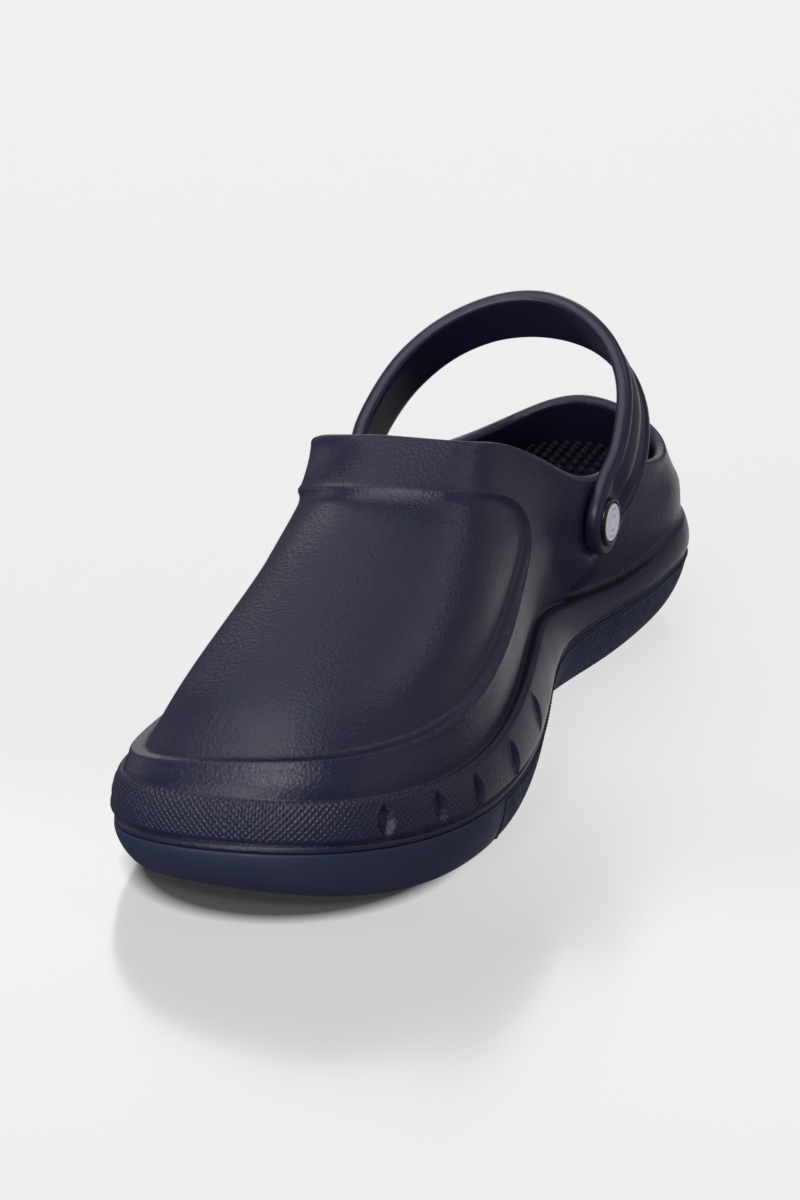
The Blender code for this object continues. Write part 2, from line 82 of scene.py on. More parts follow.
# x, y      plan of the edge where foxing meets outsole
# parting   height of that edge; foxing: height of the top of the foxing
# lean      how far the foxing top is set in; groove: how far the upper starts in; tuck: outsole bottom set in
# rim       edge of the opening; rise: height of the straight wall above the foxing
# reach     how far the surface runs level before the rim, and drop: how steeply it comes up to it
# panel     where the sunken vamp panel starts and ends, as shares of the way from foxing to rim
STATIONS = (
    ("toe",               6.0, -142.0, 17.4, 31.3, 1.4, 2.6, 6.5,   3.0, -15.0, 90.0, 17.0, 56.0, 26.0, .160, .885),
    ("toe_arch",         36.5, -130.0, 17.3, 30.7, 1.4, 2.6, 5.0,  14.0, -14.0, 90.0, 19.0, 46.0, 24.0, .178, .876),
    ("ball_front",       52.5,  -95.5, 14.3, 28.3, 2.2, 3.6, 2.0,  23.0, -10.0, 89.0, 24.0, 30.0, 22.0, .186, .852),
    ("ball",             53.0,  -50.5, 13.7, 30.0, 3.0, 5.5, 1.5,  28.5,   2.0, 84.5, 24.0, 12.0, 19.0, .262, .800),
    ("arch_front",       43.0,   -6.0, 16.0, 34.5, 3.0, 6.0, 3.0,  33.0,  21.0, 74.2, 18.0,  3.0, 16.0, .400, .700),
    ("arch",             35.6,   28.5, 20.0, 32.0, 3.0, 6.0, 9.5,  34.8,  47.0, 62.3, 12.0,  1.5, 12.0, .400, .700),
    ("waist",            38.7,   68.0, 20.0, 27.0, 2.6, 5.6, 10.0, 34.9,  78.0, 56.5, 11.0,  1.5, 10.0, .400, .700),
    ("heel_arch",        39.8,  104.5, 19.8, 28.2, 1.8, 3.2, 9.0,  35.3, 107.0, 50.5, 14.0,  3.5, 11.0, .400, .700),
    ("heel_corner_arch", 31.5,  134.0, 19.6, 31.5, 1.0, 1.6, 7.5,  24.9, 129.6, 53.0, 13.0,  4.0, 13.0, .400, .700),
    ("heel",              0.4,  145.0, 19.4, 32.5, 1.2, 1.9, 6.5,   0.5, 137.3, 57.4, 13.0,  4.0, 14.0, .400, .700),
    ("heel_corner_outer", -31.0, 134.0, 19.6, 31.5, 1.2, 1.9, 7.0, -20.5, 129.5, 51.0, 13.0, 4.0, 13.0, .400, .700),
    ("heel_outer",      -40.0,  104.5, 19.0, 28.2, 1.8, 3.2, 8.0, -31.5, 107.0, 48.5, 14.0,  3.5, 11.0, .400, .700),
    ("waist_outer",     -40.0,   66.0, 18.5, 28.0, 3.0, 6.0, 8.0, -34.6,  78.0, 53.2, 11.0,  1.5, 10.0, .400, .700),
    ("mid_outer",       -42.0,   25.0, 18.5, 31.5, 3.0, 6.0, 5.5, -34.3,  46.0, 61.2, 14.0,  1.5, 12.0, .400, .700),
    ("ball_back_outer", -44.5,  -18.0, 16.0, 31.0, 3.0, 6.0, 3.5, -31.0,  20.0, 72.5, 10.0,  2.0, 16.0, .380, .710),
    ("ball_outer",      -43.0,  -56.0, 13.7, 29.0, 2.8, 6.0, 2.0, -28.0,  -1.0, 80.6,  4.0,  3.0, 18.0, .240, .790),
    ("front_outer",     -38.5,  -95.0, 13.4, 28.0, 2.2, 4.0, 2.0, -22.0, -12.0, 85.2,  4.0,  2.5, 20.0, .165, .820),
    ("toe_outer",       -29.0, -131.0, 14.8, 29.4, 1.4, 2.6, 5.0,  -8.5, -15.2, 89.0, 10.0, 26.0, 20.0, .130, .840),
)
DRAWN_TOP = 90.07            # drawn height of the highest point of the collar
SOLE_MIDDLE = 15.0           # drawn height of the parting surface under the foot
TOE_SPRING = 4.5             # drawn lift of the tread at the toe tip
TOE_SPRING_START = -95.0     # drawn y where the tread starts to lift
PAD_RADIUS = 12.0            # flat round each rivet
PAD_BLEND = 10.0             # over which the flat eases into the wall
SOLE_WEB = 6.0               # foam between the outsole and the footbed
SEAM_EDGE = 0.5              # rounding where outsole and foxing meet
SEAT_GAP = 0.3               # clearance between shell and outsole
CAP_TO_PAD = 4.1             # from the inside cap's seat to the flat face of the pad
RIB_SINK = 0.5               # how far the ribbed side of the outsole is sunk below the smooth bumper
FOXING_BULGE = 0.9           # how far the foxing swells between its bead and its top

# Where more lines run across the shell, as (first station, last station, extra density)
DENSE_STATIONS = ((-0.6, 4.3, 1.5), (3.3, 3.9, 4.0), (5.1, 5.5, 6.0), (12.55, 12.9, 5.0), (14.1, 14.8, 3.0))
DIMPLE_DENSITY = 4.0         # extra density at each dimple
ROUND_STEPS = 600            # lines across the shell and the outsole

# Where the sunken panel ends on each side, and over how many stations its ends round off
PANEL_ARCH_END = 3.64
PANEL_OUTER_END = -3.72
PANEL_ROUNDING = 0.62
PANEL_END_SHARE = 0.56       # height share where the panel's lower and upper edges meet

# Fold under each strap end: the station of its foot, its lean in stations, and which way the vamp lies
CREASES = ((5.27, 0.10, -1.0), (12.73, -0.10, 1.0))

BUMPER_END = 2.62            # station where the smooth toe bumper gives way to ribs

# Lens-shaped dimples along the foxing: stations and share of the foxing height
DIMPLES_ARCH = ((1.26, 0.53), (1.76, 0.52), (2.19, 0.51), (2.76, 0.52), (3.37, 0.56))
DIMPLES_OUTER = ((16.74, 0.53), (16.3, 0.52), (15.85, 0.51), (15.3, 0.52), (14.7, 0.55))

# Half of the strap's centre line, as (half spacing, reach) shares from the pivot to the top of the arch
STRAP_HALF = ((1.0, 0.0), (1.0, 0.115), (1.03, 0.26), (1.0, 0.45), (0.875, 0.668),
              (0.635, 0.852), (0.33, 0.963), (0.0, 1.0))
STRAP_THICKNESS = 3.4
STRAP_WIDTH = 19.0
STRAP_CLEARANCE = 0.4        # between the strap and the pads
STRAP_LEAN = 52.0            # degrees back from upright at rest
STRAP_CROWN = 0.4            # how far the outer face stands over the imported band
STRAP_FLARE = 0.12           # how far the legs open towards their back edge, as a slope


def linear(colour):
    """Linear red, green and blue of an sRGB hex colour."""
    parts = [int(colour[place:place + 2], 16) / 255 for place in (1, 3, 5)]
    return tuple(part / 12.92 if part <= 0.04045 else ((part + 0.055) / 1.055) ** 2.4 for part in parts)


# ---------------------------------------------------------------- sizes and colours a user would change

class ClogSizes(PropertyGroup):
    """Sizes of the clog's finish and small features."""
    wall: FloatProperty(name="Foam wall", description="Thickness of the upper", default=0.0038,
                        min=0.002, max=0.008, subtype="DISTANCE", unit="LENGTH")
    panel_depth: FloatProperty(name="Panel depth", description="How far the vamp panel is sunk at its edge",
                               default=0.0026, min=0.0, max=0.003, subtype="DISTANCE", unit="LENGTH")
    dimple_depth: FloatProperty(name="Dimple depth", description="Depth of the foxing dimples",
                                default=0.0020, min=0.0, max=0.003, subtype="DISTANCE", unit="LENGTH")
    grain: FloatProperty(name="Grain", description="Size of the moulded leather grain", default=0.0009,
                         min=0.0002, max=0.005, subtype="DISTANCE", unit="LENGTH")
    knurl: FloatProperty(name="Knurl pitch", description="Spacing of the diamonds on the foxing",
                         default=0.0013, min=0.0005, max=0.005, subtype="DISTANCE", unit="LENGTH")
    rib_pitch: FloatProperty(name="Rib pitch", description="Spacing of the ribs on the side of the outsole",
                             default=0.0021, min=0.0008, max=0.005, subtype="DISTANCE", unit="LENGTH")
    rib_width: FloatProperty(name="Rib width", description="Width of one rib", default=0.0013,
                             min=0.0003, max=0.003, subtype="DISTANCE", unit="LENGTH")
    lug_pitch: FloatProperty(name="Lug pitch", description="Spacing of the tread lugs", default=0.0095,
                             min=0.004, max=0.03, subtype="DISTANCE", unit="LENGTH")
    lug_height: FloatProperty(name="Lug height", description="Depth of the tread", default=0.0022,
                              min=0.0005, max=0.005, subtype="DISTANCE", unit="LENGTH")
    nub_pitch: FloatProperty(name="Nub pitch", description="Spacing of the nubs on the insole",
                             default=0.0050, min=0.003, max=0.02, subtype="DISTANCE", unit="LENGTH")
    nub_width: FloatProperty(name="Nub width", description="Width of one nub", default=0.0031,
                             min=0.001, max=0.01, subtype="DISTANCE", unit="LENGTH")
    turned_steps: IntProperty(name="Turned steps", description="Steps round a rivet", default=96, min=24,
                              max=256)


class ClogColours(PropertyGroup):
    """Base colours of the clog's materials."""
    foam: FloatVectorProperty(name="Foam", description="Shell and strap foam", default=linear("#1b1b36"),
                              subtype="COLOR", min=0.0, max=1.0)
    rubber: FloatVectorProperty(name="Rubber", description="Outsole rubber", default=linear("#1e2440"),
                                subtype="COLOR", min=0.0, max=1.0)
    insole: FloatVectorProperty(name="Insole", description="Insole foam", default=linear("#191b27"),
                                subtype="COLOR", min=0.0, max=1.0)
    plastic: FloatVectorProperty(name="Rivet", description="Rivets and caps", default=linear("#101012"),
                                 subtype="COLOR", min=0.0, max=1.0)
    badge: FloatVectorProperty(name="Badge", description="Inlay in the rivet heads",
                               default=linear("#d9d6e6"), subtype="COLOR", min=0.0, max=1.0)
    floor: FloatVectorProperty(name="Floor", description="Studio floor", default=linear("#606060"),
                               subtype="COLOR", min=0.0, max=1.0)


# ---------------------------------------------------------------- curves round the clog

def smooth(share):
    """Ease from 0 to 1."""
    share = np.clip(share, 0.0, 1.0)
    return share * share * (3 - 2 * share)


def travelled(points):
    """Length along a line of points, counted from the first."""
    return np.concatenate([[0.0], np.cumsum(np.linalg.norm(np.diff(points, axis=0), axis=1))])


def counted_from_toe(where):
    """Station numbers from the toe, negative along the outer side."""
    return np.where(where > len(STATIONS) / 2, where - len(STATIONS), where)


def closed_spline(values, where):
    """Smooth closed curve through the rows of values, read at station numbers where."""
    count = len(values)
    spread = np.zeros((count, count))
    for row in range(count):
        spread[row, row] = 4.0
        spread[row, (row + 1) % count] = 1.0
        spread[row, (row - 1) % count] = 1.0
    slopes = np.linalg.solve(spread, 3.0 * (np.roll(values, -1, 0) - np.roll(values, 1, 0)))
    start = np.floor(where).astype(int) % count
    end = (start + 1) % count
    t = (where - np.floor(where))[:, None]
    return (values[start] * (1 + 2 * t) * (1 - t) ** 2 + slopes[start] * t * (1 - t) ** 2
            + values[end] * t * t * (3 - 2 * t) + slopes[end] * t * t * (t - 1))


def station_steps(count):
    """Station numbers of count lines across the shell, closer together where the detail is."""
    fine = np.linspace(0.0, len(STATIONS), 4001)
    density = np.ones_like(fine)
    for first, last, extra in DENSE_STATIONS:
        for turn in (0.0, len(STATIONS)):
            inside = smooth((fine - first - turn + 0.1) / 0.2) * smooth((last + turn + 0.1 - fine) / 0.2)
            density += extra * inside
    for middle, _ in DIMPLES_ARCH + DIMPLES_OUTER:
        density += DIMPLE_DENSITY * np.exp(-((fine - middle) / 0.09) ** 2)
    total = np.concatenate([[0.0], np.cumsum((density[1:] + density[:-1]) / 2)])
    return np.interp(np.arange(count) / count * total[-1], total, fine)


def fitted_curves(where):
    """The station values at station numbers where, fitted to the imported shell, as a dictionary in metres."""
    table = np.array([row[1:] for row in STATIONS], float)
    plain = closed_spline(table, np.linspace(0.0, len(table), 721)[:-1])
    curves = dict(zip(COLUMNS, closed_spline(table, np.asarray(where, float)).T))
    low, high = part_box("shell")
    for axis, keys in enumerate((("x", "rim_x"), ("y", "rim_y"))):
        drawn_low = plain[:, axis].min()
        stretch = (high[axis] - low[axis]) / (plain[:, axis].max() - drawn_low)
        for key in keys:
            curves[key] = low[axis] + (curves[key] - drawn_low) * stretch
    upright = high[2] / DRAWN_TOP
    for key in ("parting", "foxing", "rim_z", "rise", "drop"):
        curves[key] = curves[key] * upright
    for key in ("lean", "groove", "tuck", "reach"):
        curves[key] = curves[key] * MM
    curves["where"] = np.asarray(where, float)
    return curves


def plan_of(curves):
    """Plan of the clog's edge."""
    return np.column_stack([curves["x"], curves["y"]])


def inward(curves):
    """Unit plan vectors pointing into the clog, square to its edge."""
    plan = plan_of(curves)
    along = np.roll(plan, -1, 0) - np.roll(plan, 1, 0)
    normal = np.column_stack([-along[:, 1], along[:, 0]])
    return normal / np.linalg.norm(normal, axis=1, keepdims=True)


def edge_ring(curves, inset, height):
    """A ring set in from the edge of the clog by inset, at the given height."""
    plan = plan_of(curves) + inward(curves) * np.reshape(inset, (-1, 1))
    return np.column_stack([plan, np.broadcast_to(height, len(plan))])


def drawn_origin():
    """Where the drawn plan's origin lies in the shared frame."""
    where = [number for number, row in enumerate(STATIONS) if row[0] == "heel"]
    curves = fitted_curves(where)
    drawn = STATIONS[where[0]]
    return np.array([curves["x"][0] - drawn[1] * MM, curves["y"][0] - drawn[2] * MM])


def dished_ring(ring, share, middle):
    """The ring drawn in to a share of its size, its height easing from the edge to the middle height."""
    centre = drawn_origin()
    inner = ring.copy()
    inner[:, :2] = centre + (ring[:, :2] - centre) * share
    inner[:, 2] = middle + (ring[:, 2] - middle) * share ** 2
    return inner


def pivot_point():
    """Middle of the rivet axis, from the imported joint."""
    joint = frame["record"]["behaviour"]["joints"][0]
    return np.array(joint["pos_m"], float)


def upper_surface(curves, steps):
    """Outer surface of the upper. Steps are shares from foxing to rim, as (rings, 1) or (rings, lines)."""
    base = edge_ring(curves, curves["groove"], curves["foxing"])
    rim = np.column_stack([curves["rim_x"], curves["rim_y"], curves["rim_z"]])
    run = base[:, :2] - rim[:, :2]
    run /= np.linalg.norm(run, axis=1, keepdims=True)
    above_base = base.copy()
    above_base[:, 2] += curves["rise"]
    before_rim = rim.copy()
    before_rim[:, :2] += run * curves["reach"][:, None]
    before_rim[:, 2] -= curves["drop"]
    t = np.asarray(steps)[..., None]
    return (base * (1 - t) ** 3 + above_base * 3 * t * (1 - t) ** 2
            + before_rim * 3 * t * t * (1 - t) + rim * t ** 3)


def outward(surface):
    """Unit normals of a grid of rings."""
    round_it = np.roll(surface, -1, 1) - np.roll(surface, 1, 1)
    up_it = np.gradient(surface, axis=0)
    normal = np.cross(round_it, up_it)
    return normal / np.maximum(np.linalg.norm(normal, axis=2, keepdims=True), 1e-12)


def flat_pads(surface, half_spacing):
    """Ease the wall round each rivet onto flat pads square to the rivet axis."""
    pivot = pivot_point()
    eased = surface.copy()
    far = np.hypot(surface[..., 1] - pivot[1], surface[..., 2] - pivot[2])
    pull = 1.0 - smooth((far - PAD_RADIUS * MM) / (PAD_BLEND * MM))
    side = np.sign(surface[..., 0] - pivot[0])
    eased[..., 0] += (pivot[0] + side * half_spacing - surface[..., 0]) * pull
    return eased


def pad_half_spacing():
    """Distance of the flat rivet pads from the rivet middle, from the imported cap."""
    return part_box("rivet_cap_arch")[1][0] - pivot_point()[0] + CAP_TO_PAD * MM


# ---------------------------------------------------------------- meshes and pieces

def ring_faces(levels, count, first=0):
    """Quads between rings of count points."""
    faces = []
    for level in range(levels - 1):
        low = first + level * count
        high = low + count
        for step in range(count):
            after = (step + 1) % count
            faces.append((low + step, low + after, high + after, high + step))
    return faces


def lofted_mesh(name, rings):
    """Closed mesh through rings, ended by a point at each end."""
    rings = [np.asarray(ring) for ring in rings]
    count = len(rings[0])
    vertices = np.vstack([rings[0].mean(0)[None]] + rings + [rings[-1].mean(0)[None]])
    last = len(vertices) - 1
    faces = ring_faces(len(rings), count, 1)
    top = 1 + (len(rings) - 1) * count
    for step in range(count):
        after = (step + 1) % count
        faces.append((0, 1 + after, 1 + step))
        faces.append((top + step, top + after, last))
    mesh = bpy.data.meshes.new(name)
    mesh.from_pydata(vertices.tolist(), [], faces)
    mesh.update()
    mesh.shade_smooth()
    return mesh


def add_piece(name, mesh, finish, body, slot, *nodes):
    """Put a finished mesh in the scene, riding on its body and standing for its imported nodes."""
    mesh.materials.clear()
    mesh.materials.append(finish)
    piece = bpy.data.objects.new(name, mesh)
    bpy.context.scene.collection.objects.link(piece)
    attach(piece, body)
    if nodes:
        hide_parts(*nodes)
    return piece


def set_point_values(mesh, name, values):
    """Store one number for each point."""
    attribute = mesh.attributes.new(name, "FLOAT", "POINT")
    attribute.data.foreach_set("value", np.asarray(values, np.float32))


def set_surface_map(mesh, name, places, around):
    """Store a flat map position, in metres, for each point as a UV map. Around is the length of the closed edge,
    which is added where a face crosses the first line again."""
    layer = mesh.uv_layers.new(name=name)
    corners = np.empty(len(mesh.loops), np.int32)
    mesh.loops.foreach_get("vertex_index", corners)
    flat = np.asarray(places, np.float64)[corners]
    starts = np.empty(len(mesh.polygons), np.int32)
    mesh.polygons.foreach_get("loop_start", starts)
    highest = np.maximum.reduceat(flat[:, 0], starts)
    sizes = np.diff(np.append(starts, len(flat)))
    crossing = np.repeat(highest, sizes) - flat[:, 0] > around / 2
    flat[crossing, 0] += around
    layer.data.foreach_set("uv", flat.astype(np.float32).ravel())


# ---------------------------------------------------------------- materials

def add_node(tree, kind, settings=None, links=None):
    """Add a node, set its properties and inputs, and link its inputs from other sockets."""
    node = tree.nodes.new(kind)
    for key, value in (settings or {}).items():
        if isinstance(key, str) and hasattr(node, key):
            setattr(node, key, value)
        else:
            node.inputs[key].default_value = value
    for key, socket in (links or {}).items():
        tree.links.new(socket, node.inputs[key])
    return node


def new_finish(name, colour, roughness, coat=0.0):
    """A named material and its Principled surface."""
    finish = bpy.data.materials.new(name)
    finish.use_nodes = True
    surface = finish.node_tree.nodes["Principled BSDF"]
    surface.inputs["Base Color"].default_value = (*colour, 1.0)
    surface.inputs["Roughness"].default_value = roughness
    surface.inputs["IOR"].default_value = 1.5
    surface.inputs["Coat Weight"].default_value = coat
    return finish, finish.node_tree, surface


def shade_variation(tree, surface, place, colour, size, spread):
    """Faint lighter and darker clouds in the base colour, of the given size in metres."""
    cloud = add_node(tree, "ShaderNodeTexNoise", {"Scale": 1 / size, "Detail": 4.0, "Roughness": 0.6},
                     {"Vector": place})
    darker = tuple(part * (1 - spread) for part in colour)
    lighter = tuple(min(1.0, part * (1 + spread)) for part in colour)
    mix = add_node(tree, "ShaderNodeMix", {"data_type": "RGBA"})
    mix.inputs[6].default_value = (*darker, 1.0)
    mix.inputs[7].default_value = (*lighter, 1.0)
    tree.links.new(cloud.outputs["Fac"], mix.inputs[0])
    tree.links.new(mix.outputs[2], surface.inputs["Base Color"])


def roughness_variation(tree, surface, place, size, low, high):
    """Patches that shine a little more or less."""
    cloud = add_node(tree, "ShaderNodeTexNoise", {"Scale": 1 / size, "Detail": 3.0}, {"Vector": place})
    spread = add_node(tree, "ShaderNodeMapRange", {"From Min": 0.3, "From Max": 0.7, "To Min": low,
                                                   "To Max": high},
                      {"Value": cloud.outputs["Fac"]})
    tree.links.new(spread.outputs["Result"], surface.inputs["Roughness"])


def moulded_grain(tree, place, size):
    """Height of a fine pebbled leather grain, as pressed into foam by an etched mould."""
    cells = add_node(tree, "ShaderNodeTexVoronoi", {"feature": "SMOOTH_F1", "Scale": 1 / size,
                                                    "Smoothness": 0.6},
                     {"Vector": place})
    fine = add_node(tree, "ShaderNodeTexNoise", {"Scale": 2.2 / size, "Detail": 3.0}, {"Vector": place})
    return add_node(tree, "ShaderNodeMath", {"operation": "ADD"},
                    {0: cells.outputs["Distance"], 1: fine.outputs["Fac"]})


def moulded_eva_foam():
    """Moulded closed-cell EVA: a fine etched grain that breaks the soft sheen, and diamonds on the foxing."""
    sizes = bpy.context.scene.clog_sizes
    colour = tuple(bpy.context.scene.clog_colours.foam)
    finish, tree, surface = new_finish("moulded_eva_foam", colour, 0.40)
    place = add_node(tree, "ShaderNodeTexCoord").outputs["Object"]
    shade_variation(tree, surface, place, colour, 0.03, 0.10)
    roughness_variation(tree, surface, place, 0.02, 0.35, 0.43)
    grain = moulded_grain(tree, place, sizes.grain)
    fine_bump = add_node(tree, "ShaderNodeBump", {"Strength": 0.6, "Distance": 0.00018},
                         {"Height": grain.outputs[0]})

    map_place = add_node(tree, "ShaderNodeUVMap", {"uv_map": "surface"}).outputs["UV"]
    waves = []
    for turn in (45.0, -45.0):
        turned = add_node(tree, "ShaderNodeMapping", {"vector_type": "POINT"}, {"Vector": map_place})
        turned.inputs["Rotation"].default_value = (0.0, 0.0, math.radians(turn))
        parts = add_node(tree, "ShaderNodeSeparateXYZ", None, {"Vector": turned.outputs["Vector"]})
        angle = add_node(tree, "ShaderNodeMath", {"operation": "MULTIPLY", 1: math.pi / sizes.knurl},
                         {0: parts.outputs["X"]})
        swing = add_node(tree, "ShaderNodeMath", {"operation": "SINE"}, {0: angle.outputs[0]})
        waves.append(add_node(tree, "ShaderNodeMath", {"operation": "ABSOLUTE"}, {0: swing.outputs[0]}))
    diamond = add_node(tree, "ShaderNodeMath", {"operation": "MULTIPLY"},
                       {0: waves[0].outputs[0], 1: waves[1].outputs[0]})
    upright = add_node(tree, "ShaderNodeSeparateXYZ", None, {"Vector": map_place})
    angle = add_node(tree, "ShaderNodeMath", {"operation": "MULTIPLY", 1: math.pi / (sizes.knurl * 0.8)},
                     {0: upright.outputs["X"]})
    swing = add_node(tree, "ShaderNodeMath", {"operation": "SINE"}, {0: angle.outputs[0]})
    stripe = add_node(tree, "ShaderNodeMath", {"operation": "ABSOLUTE"}, {0: swing.outputs[0]})
    knurl_mask = add_node(tree, "ShaderNodeAttribute", {"attribute_name": "knurl"}).outputs["Fac"]
    stripe_mask = add_node(tree, "ShaderNodeAttribute", {"attribute_name": "stripes"}).outputs["Fac"]
    knurled = add_node(tree, "ShaderNodeMath", {"operation": "MULTIPLY"}, {0: diamond.outputs[0],
                                                                           1: knurl_mask})
    striped = add_node(tree, "ShaderNodeMath", {"operation": "MULTIPLY"}, {0: stripe.outputs[0],
                                                                           1: stripe_mask})
    pattern = add_node(tree, "ShaderNodeMath", {"operation": "ADD"}, {0: knurled.outputs[0],
                                                                      1: striped.outputs[0]})
    band_bump = add_node(tree, "ShaderNodeBump", {"Strength": 1.0, "Distance": 0.00022},
                         {"Height": pattern.outputs[0], "Normal": fine_bump.outputs["Normal"]})
    tree.links.new(band_bump.outputs["Normal"], surface.inputs["Normal"])
    return finish


def smooth_eva_foam():
    """Strap foam from a polished mould: smoother than the shell, with a faint orange-peel."""
    sizes = bpy.context.scene.clog_sizes
    colour = tuple(bpy.context.scene.clog_colours.foam)
    finish, tree, surface = new_finish("smooth_eva_foam", colour, 0.38)
    place = add_node(tree, "ShaderNodeTexCoord").outputs["Object"]
    shade_variation(tree, surface, place, colour, 0.02, 0.08)
    roughness_variation(tree, surface, place, 0.012, 0.34, 0.44)
    grain = moulded_grain(tree, place, sizes.grain * 1.2)
    bump = add_node(tree, "ShaderNodeBump", {"Strength": 0.15, "Distance": 0.0001},
                    {"Height": grain.outputs[0]})
    tree.links.new(bump.outputs["Normal"], surface.inputs["Normal"])
    return finish


def moulded_rubber():
    """Compression-moulded outsole rubber: a little bluer and duller than the foam, faintly speckled."""
    colour = tuple(bpy.context.scene.clog_colours.rubber)
    finish, tree, surface = new_finish("moulded_rubber", colour, 0.55)
    place = add_node(tree, "ShaderNodeTexCoord").outputs["Object"]
    shade_variation(tree, surface, place, colour, 0.015, 0.12)
    roughness_variation(tree, surface, place, 0.01, 0.48, 0.62)
    fine = add_node(tree, "ShaderNodeTexNoise", {"Scale": 2500.0, "Detail": 4.0}, {"Vector": place})
    bump = add_node(tree, "ShaderNodeBump", {"Strength": 0.25, "Distance": 0.0001},
                    {"Height": fine.outputs["Fac"]})
    tree.links.new(bump.outputs["Normal"], surface.inputs["Normal"])
    return finish


def insole_foam():
    """Soft insole foam: matt, with open pores that show as fine dark pits."""
    colour = tuple(bpy.context.scene.clog_colours.insole)
    finish, tree, surface = new_finish("insole_foam", colour, 0.7)
    place = add_node(tree, "ShaderNodeTexCoord").outputs["Object"]
    shade_variation(tree, surface, place, colour, 0.008, 0.20)
    roughness_variation(tree, surface, place, 0.01, 0.62, 0.78)
    pores = add_node(tree, "ShaderNodeTexVoronoi", {"Scale": 1400.0}, {"Vector": place})
    bump = add_node(tree, "ShaderNodeBump", {"Strength": 0.3, "Distance": 0.0002},
                    {"Height": pores.outputs["Distance"]})
    tree.links.new(bump.outputs["Normal"], surface.inputs["Normal"])
    return finish


def moulded_abs(name, colour, roughness, coat):
    """Injection-moulded ABS: an even gloss with faint flow marks and hair-fine scuffs."""
    finish, tree, surface = new_finish(name, colour, roughness, coat)
    place = add_node(tree, "ShaderNodeTexCoord").outputs["Object"]
    shade_variation(tree, surface, place, colour, 0.004, 0.05)
    roughness_variation(tree, surface, place, 0.003, roughness * 0.8, roughness * 1.3)
    flow = add_node(tree, "ShaderNodeTexNoise", {"Scale": 900.0, "Detail": 2.0}, {"Vector": place})
    bump = add_node(tree, "ShaderNodeBump", {"Strength": 0.06, "Distance": 0.0001},
                    {"Height": flow.outputs["Fac"]})
    tree.links.new(bump.outputs["Normal"], surface.inputs["Normal"])
    return finish


def finish_named(name, maker):
    """Reuse a material once it has been made."""
    return bpy.data.materials.get(name) or maker()


# ---------------------------------------------------------------- repeated shapes as geometry nodes

def node_tree(name, inputs):
    """An empty geometry node tree with a geometry input and output and the named inputs."""
    tree = bpy.data.node_groups.new(name, "GeometryNodeTree")
    tree.interface.new_socket(name="Guides", in_out="INPUT", socket_type="NodeSocketGeometry")
    for label, kind in inputs:
        tree.interface.new_socket(name=label, in_out="INPUT", socket_type=kind)
    tree.interface.new_socket(name="Result", in_out="OUTPUT", socket_type="NodeSocketGeometry")
    start = add_node(tree, "NodeGroupInput")
    end = add_node(tree, "NodeGroupOutput")
    return tree, start, end


def rib_tree():
    """A half-round rib along every guide line."""
    tree, start, end = node_tree("outsole_ribs", (("Width", "NodeSocketFloat"),
                                                  ("Finish", "NodeSocketMaterial")))
    curve = add_node(tree, "GeometryNodeMeshToCurve", None, {"Mesh": start.outputs["Guides"]})
    radius = add_node(tree, "ShaderNodeMath", {"operation": "MULTIPLY", 1: 0.5}, {0: start.outputs["Width"]})
    round_profile = add_node(tree, "GeometryNodeCurvePrimitiveCircle", {"Resolution": 6},
                             {"Radius": radius.outputs[0]})
    sweep = add_node(tree, "GeometryNodeCurveToMesh", {"Fill Caps": True},
                     {"Curve": curve.outputs["Curve"], "Profile Curve": round_profile.outputs["Curve"]})
    finish_off(tree, sweep.outputs["Mesh"], start, end)
    return tree


def stud_tree():
    """A short drafted post on every guide point, with a chosen number of sides."""
    tree, start, end = node_tree("studs", (("Width", "NodeSocketFloat"), ("Height", "NodeSocketFloat"),
                                           ("Top share", "NodeSocketFloat"), ("Sides", "NodeSocketInt"),
                                           ("Finish", "NodeSocketMaterial")))
    radius = add_node(tree, "ShaderNodeMath", {"operation": "MULTIPLY", 1: 0.5}, {0: start.outputs["Width"]})
    top = add_node(tree, "ShaderNodeMath", {"operation": "MULTIPLY"},
                   {0: radius.outputs[0], 1: start.outputs["Top share"]})
    post = add_node(tree, "GeometryNodeMeshCone", None,
                    {"Vertices": start.outputs["Sides"], "Radius Top": top.outputs[0],
                     "Radius Bottom": radius.outputs[0], "Depth": start.outputs["Height"]})
    place = add_node(tree, "GeometryNodeInstanceOnPoints", None,
                     {"Points": start.outputs["Guides"], "Instance": post.outputs["Mesh"]})
    finish_off(tree, place.outputs["Instances"], start, end)
    return tree


def nub_tree():
    """A low rounded nub on every guide point."""
    tree, start, end = node_tree("insole_nubs", (("Width", "NodeSocketFloat"), ("Height", "NodeSocketFloat"),
                                                 ("Finish", "NodeSocketMaterial")))
    radius = add_node(tree, "ShaderNodeMath", {"operation": "MULTIPLY", 1: 0.5}, {0: start.outputs["Width"]})
    ball = add_node(tree, "GeometryNodeMeshUVSphere", {"Segments": 10, "Rings": 6},
                    {"Radius": radius.outputs[0]})
    squash = add_node(tree, "ShaderNodeMath", {"operation": "DIVIDE"},
                      {0: start.outputs["Height"], 1: radius.outputs[0]})
    size = add_node(tree, "ShaderNodeCombineXYZ", {"X": 1.0, "Y": 1.0}, {"Z": squash.outputs[0]})
    place = add_node(tree, "GeometryNodeInstanceOnPoints", None,
                     {"Points": start.outputs["Guides"], "Instance": ball.outputs["Mesh"],
                      "Scale": size.outputs["Vector"]})
    finish_off(tree, place.outputs["Instances"], start, end)
    return tree


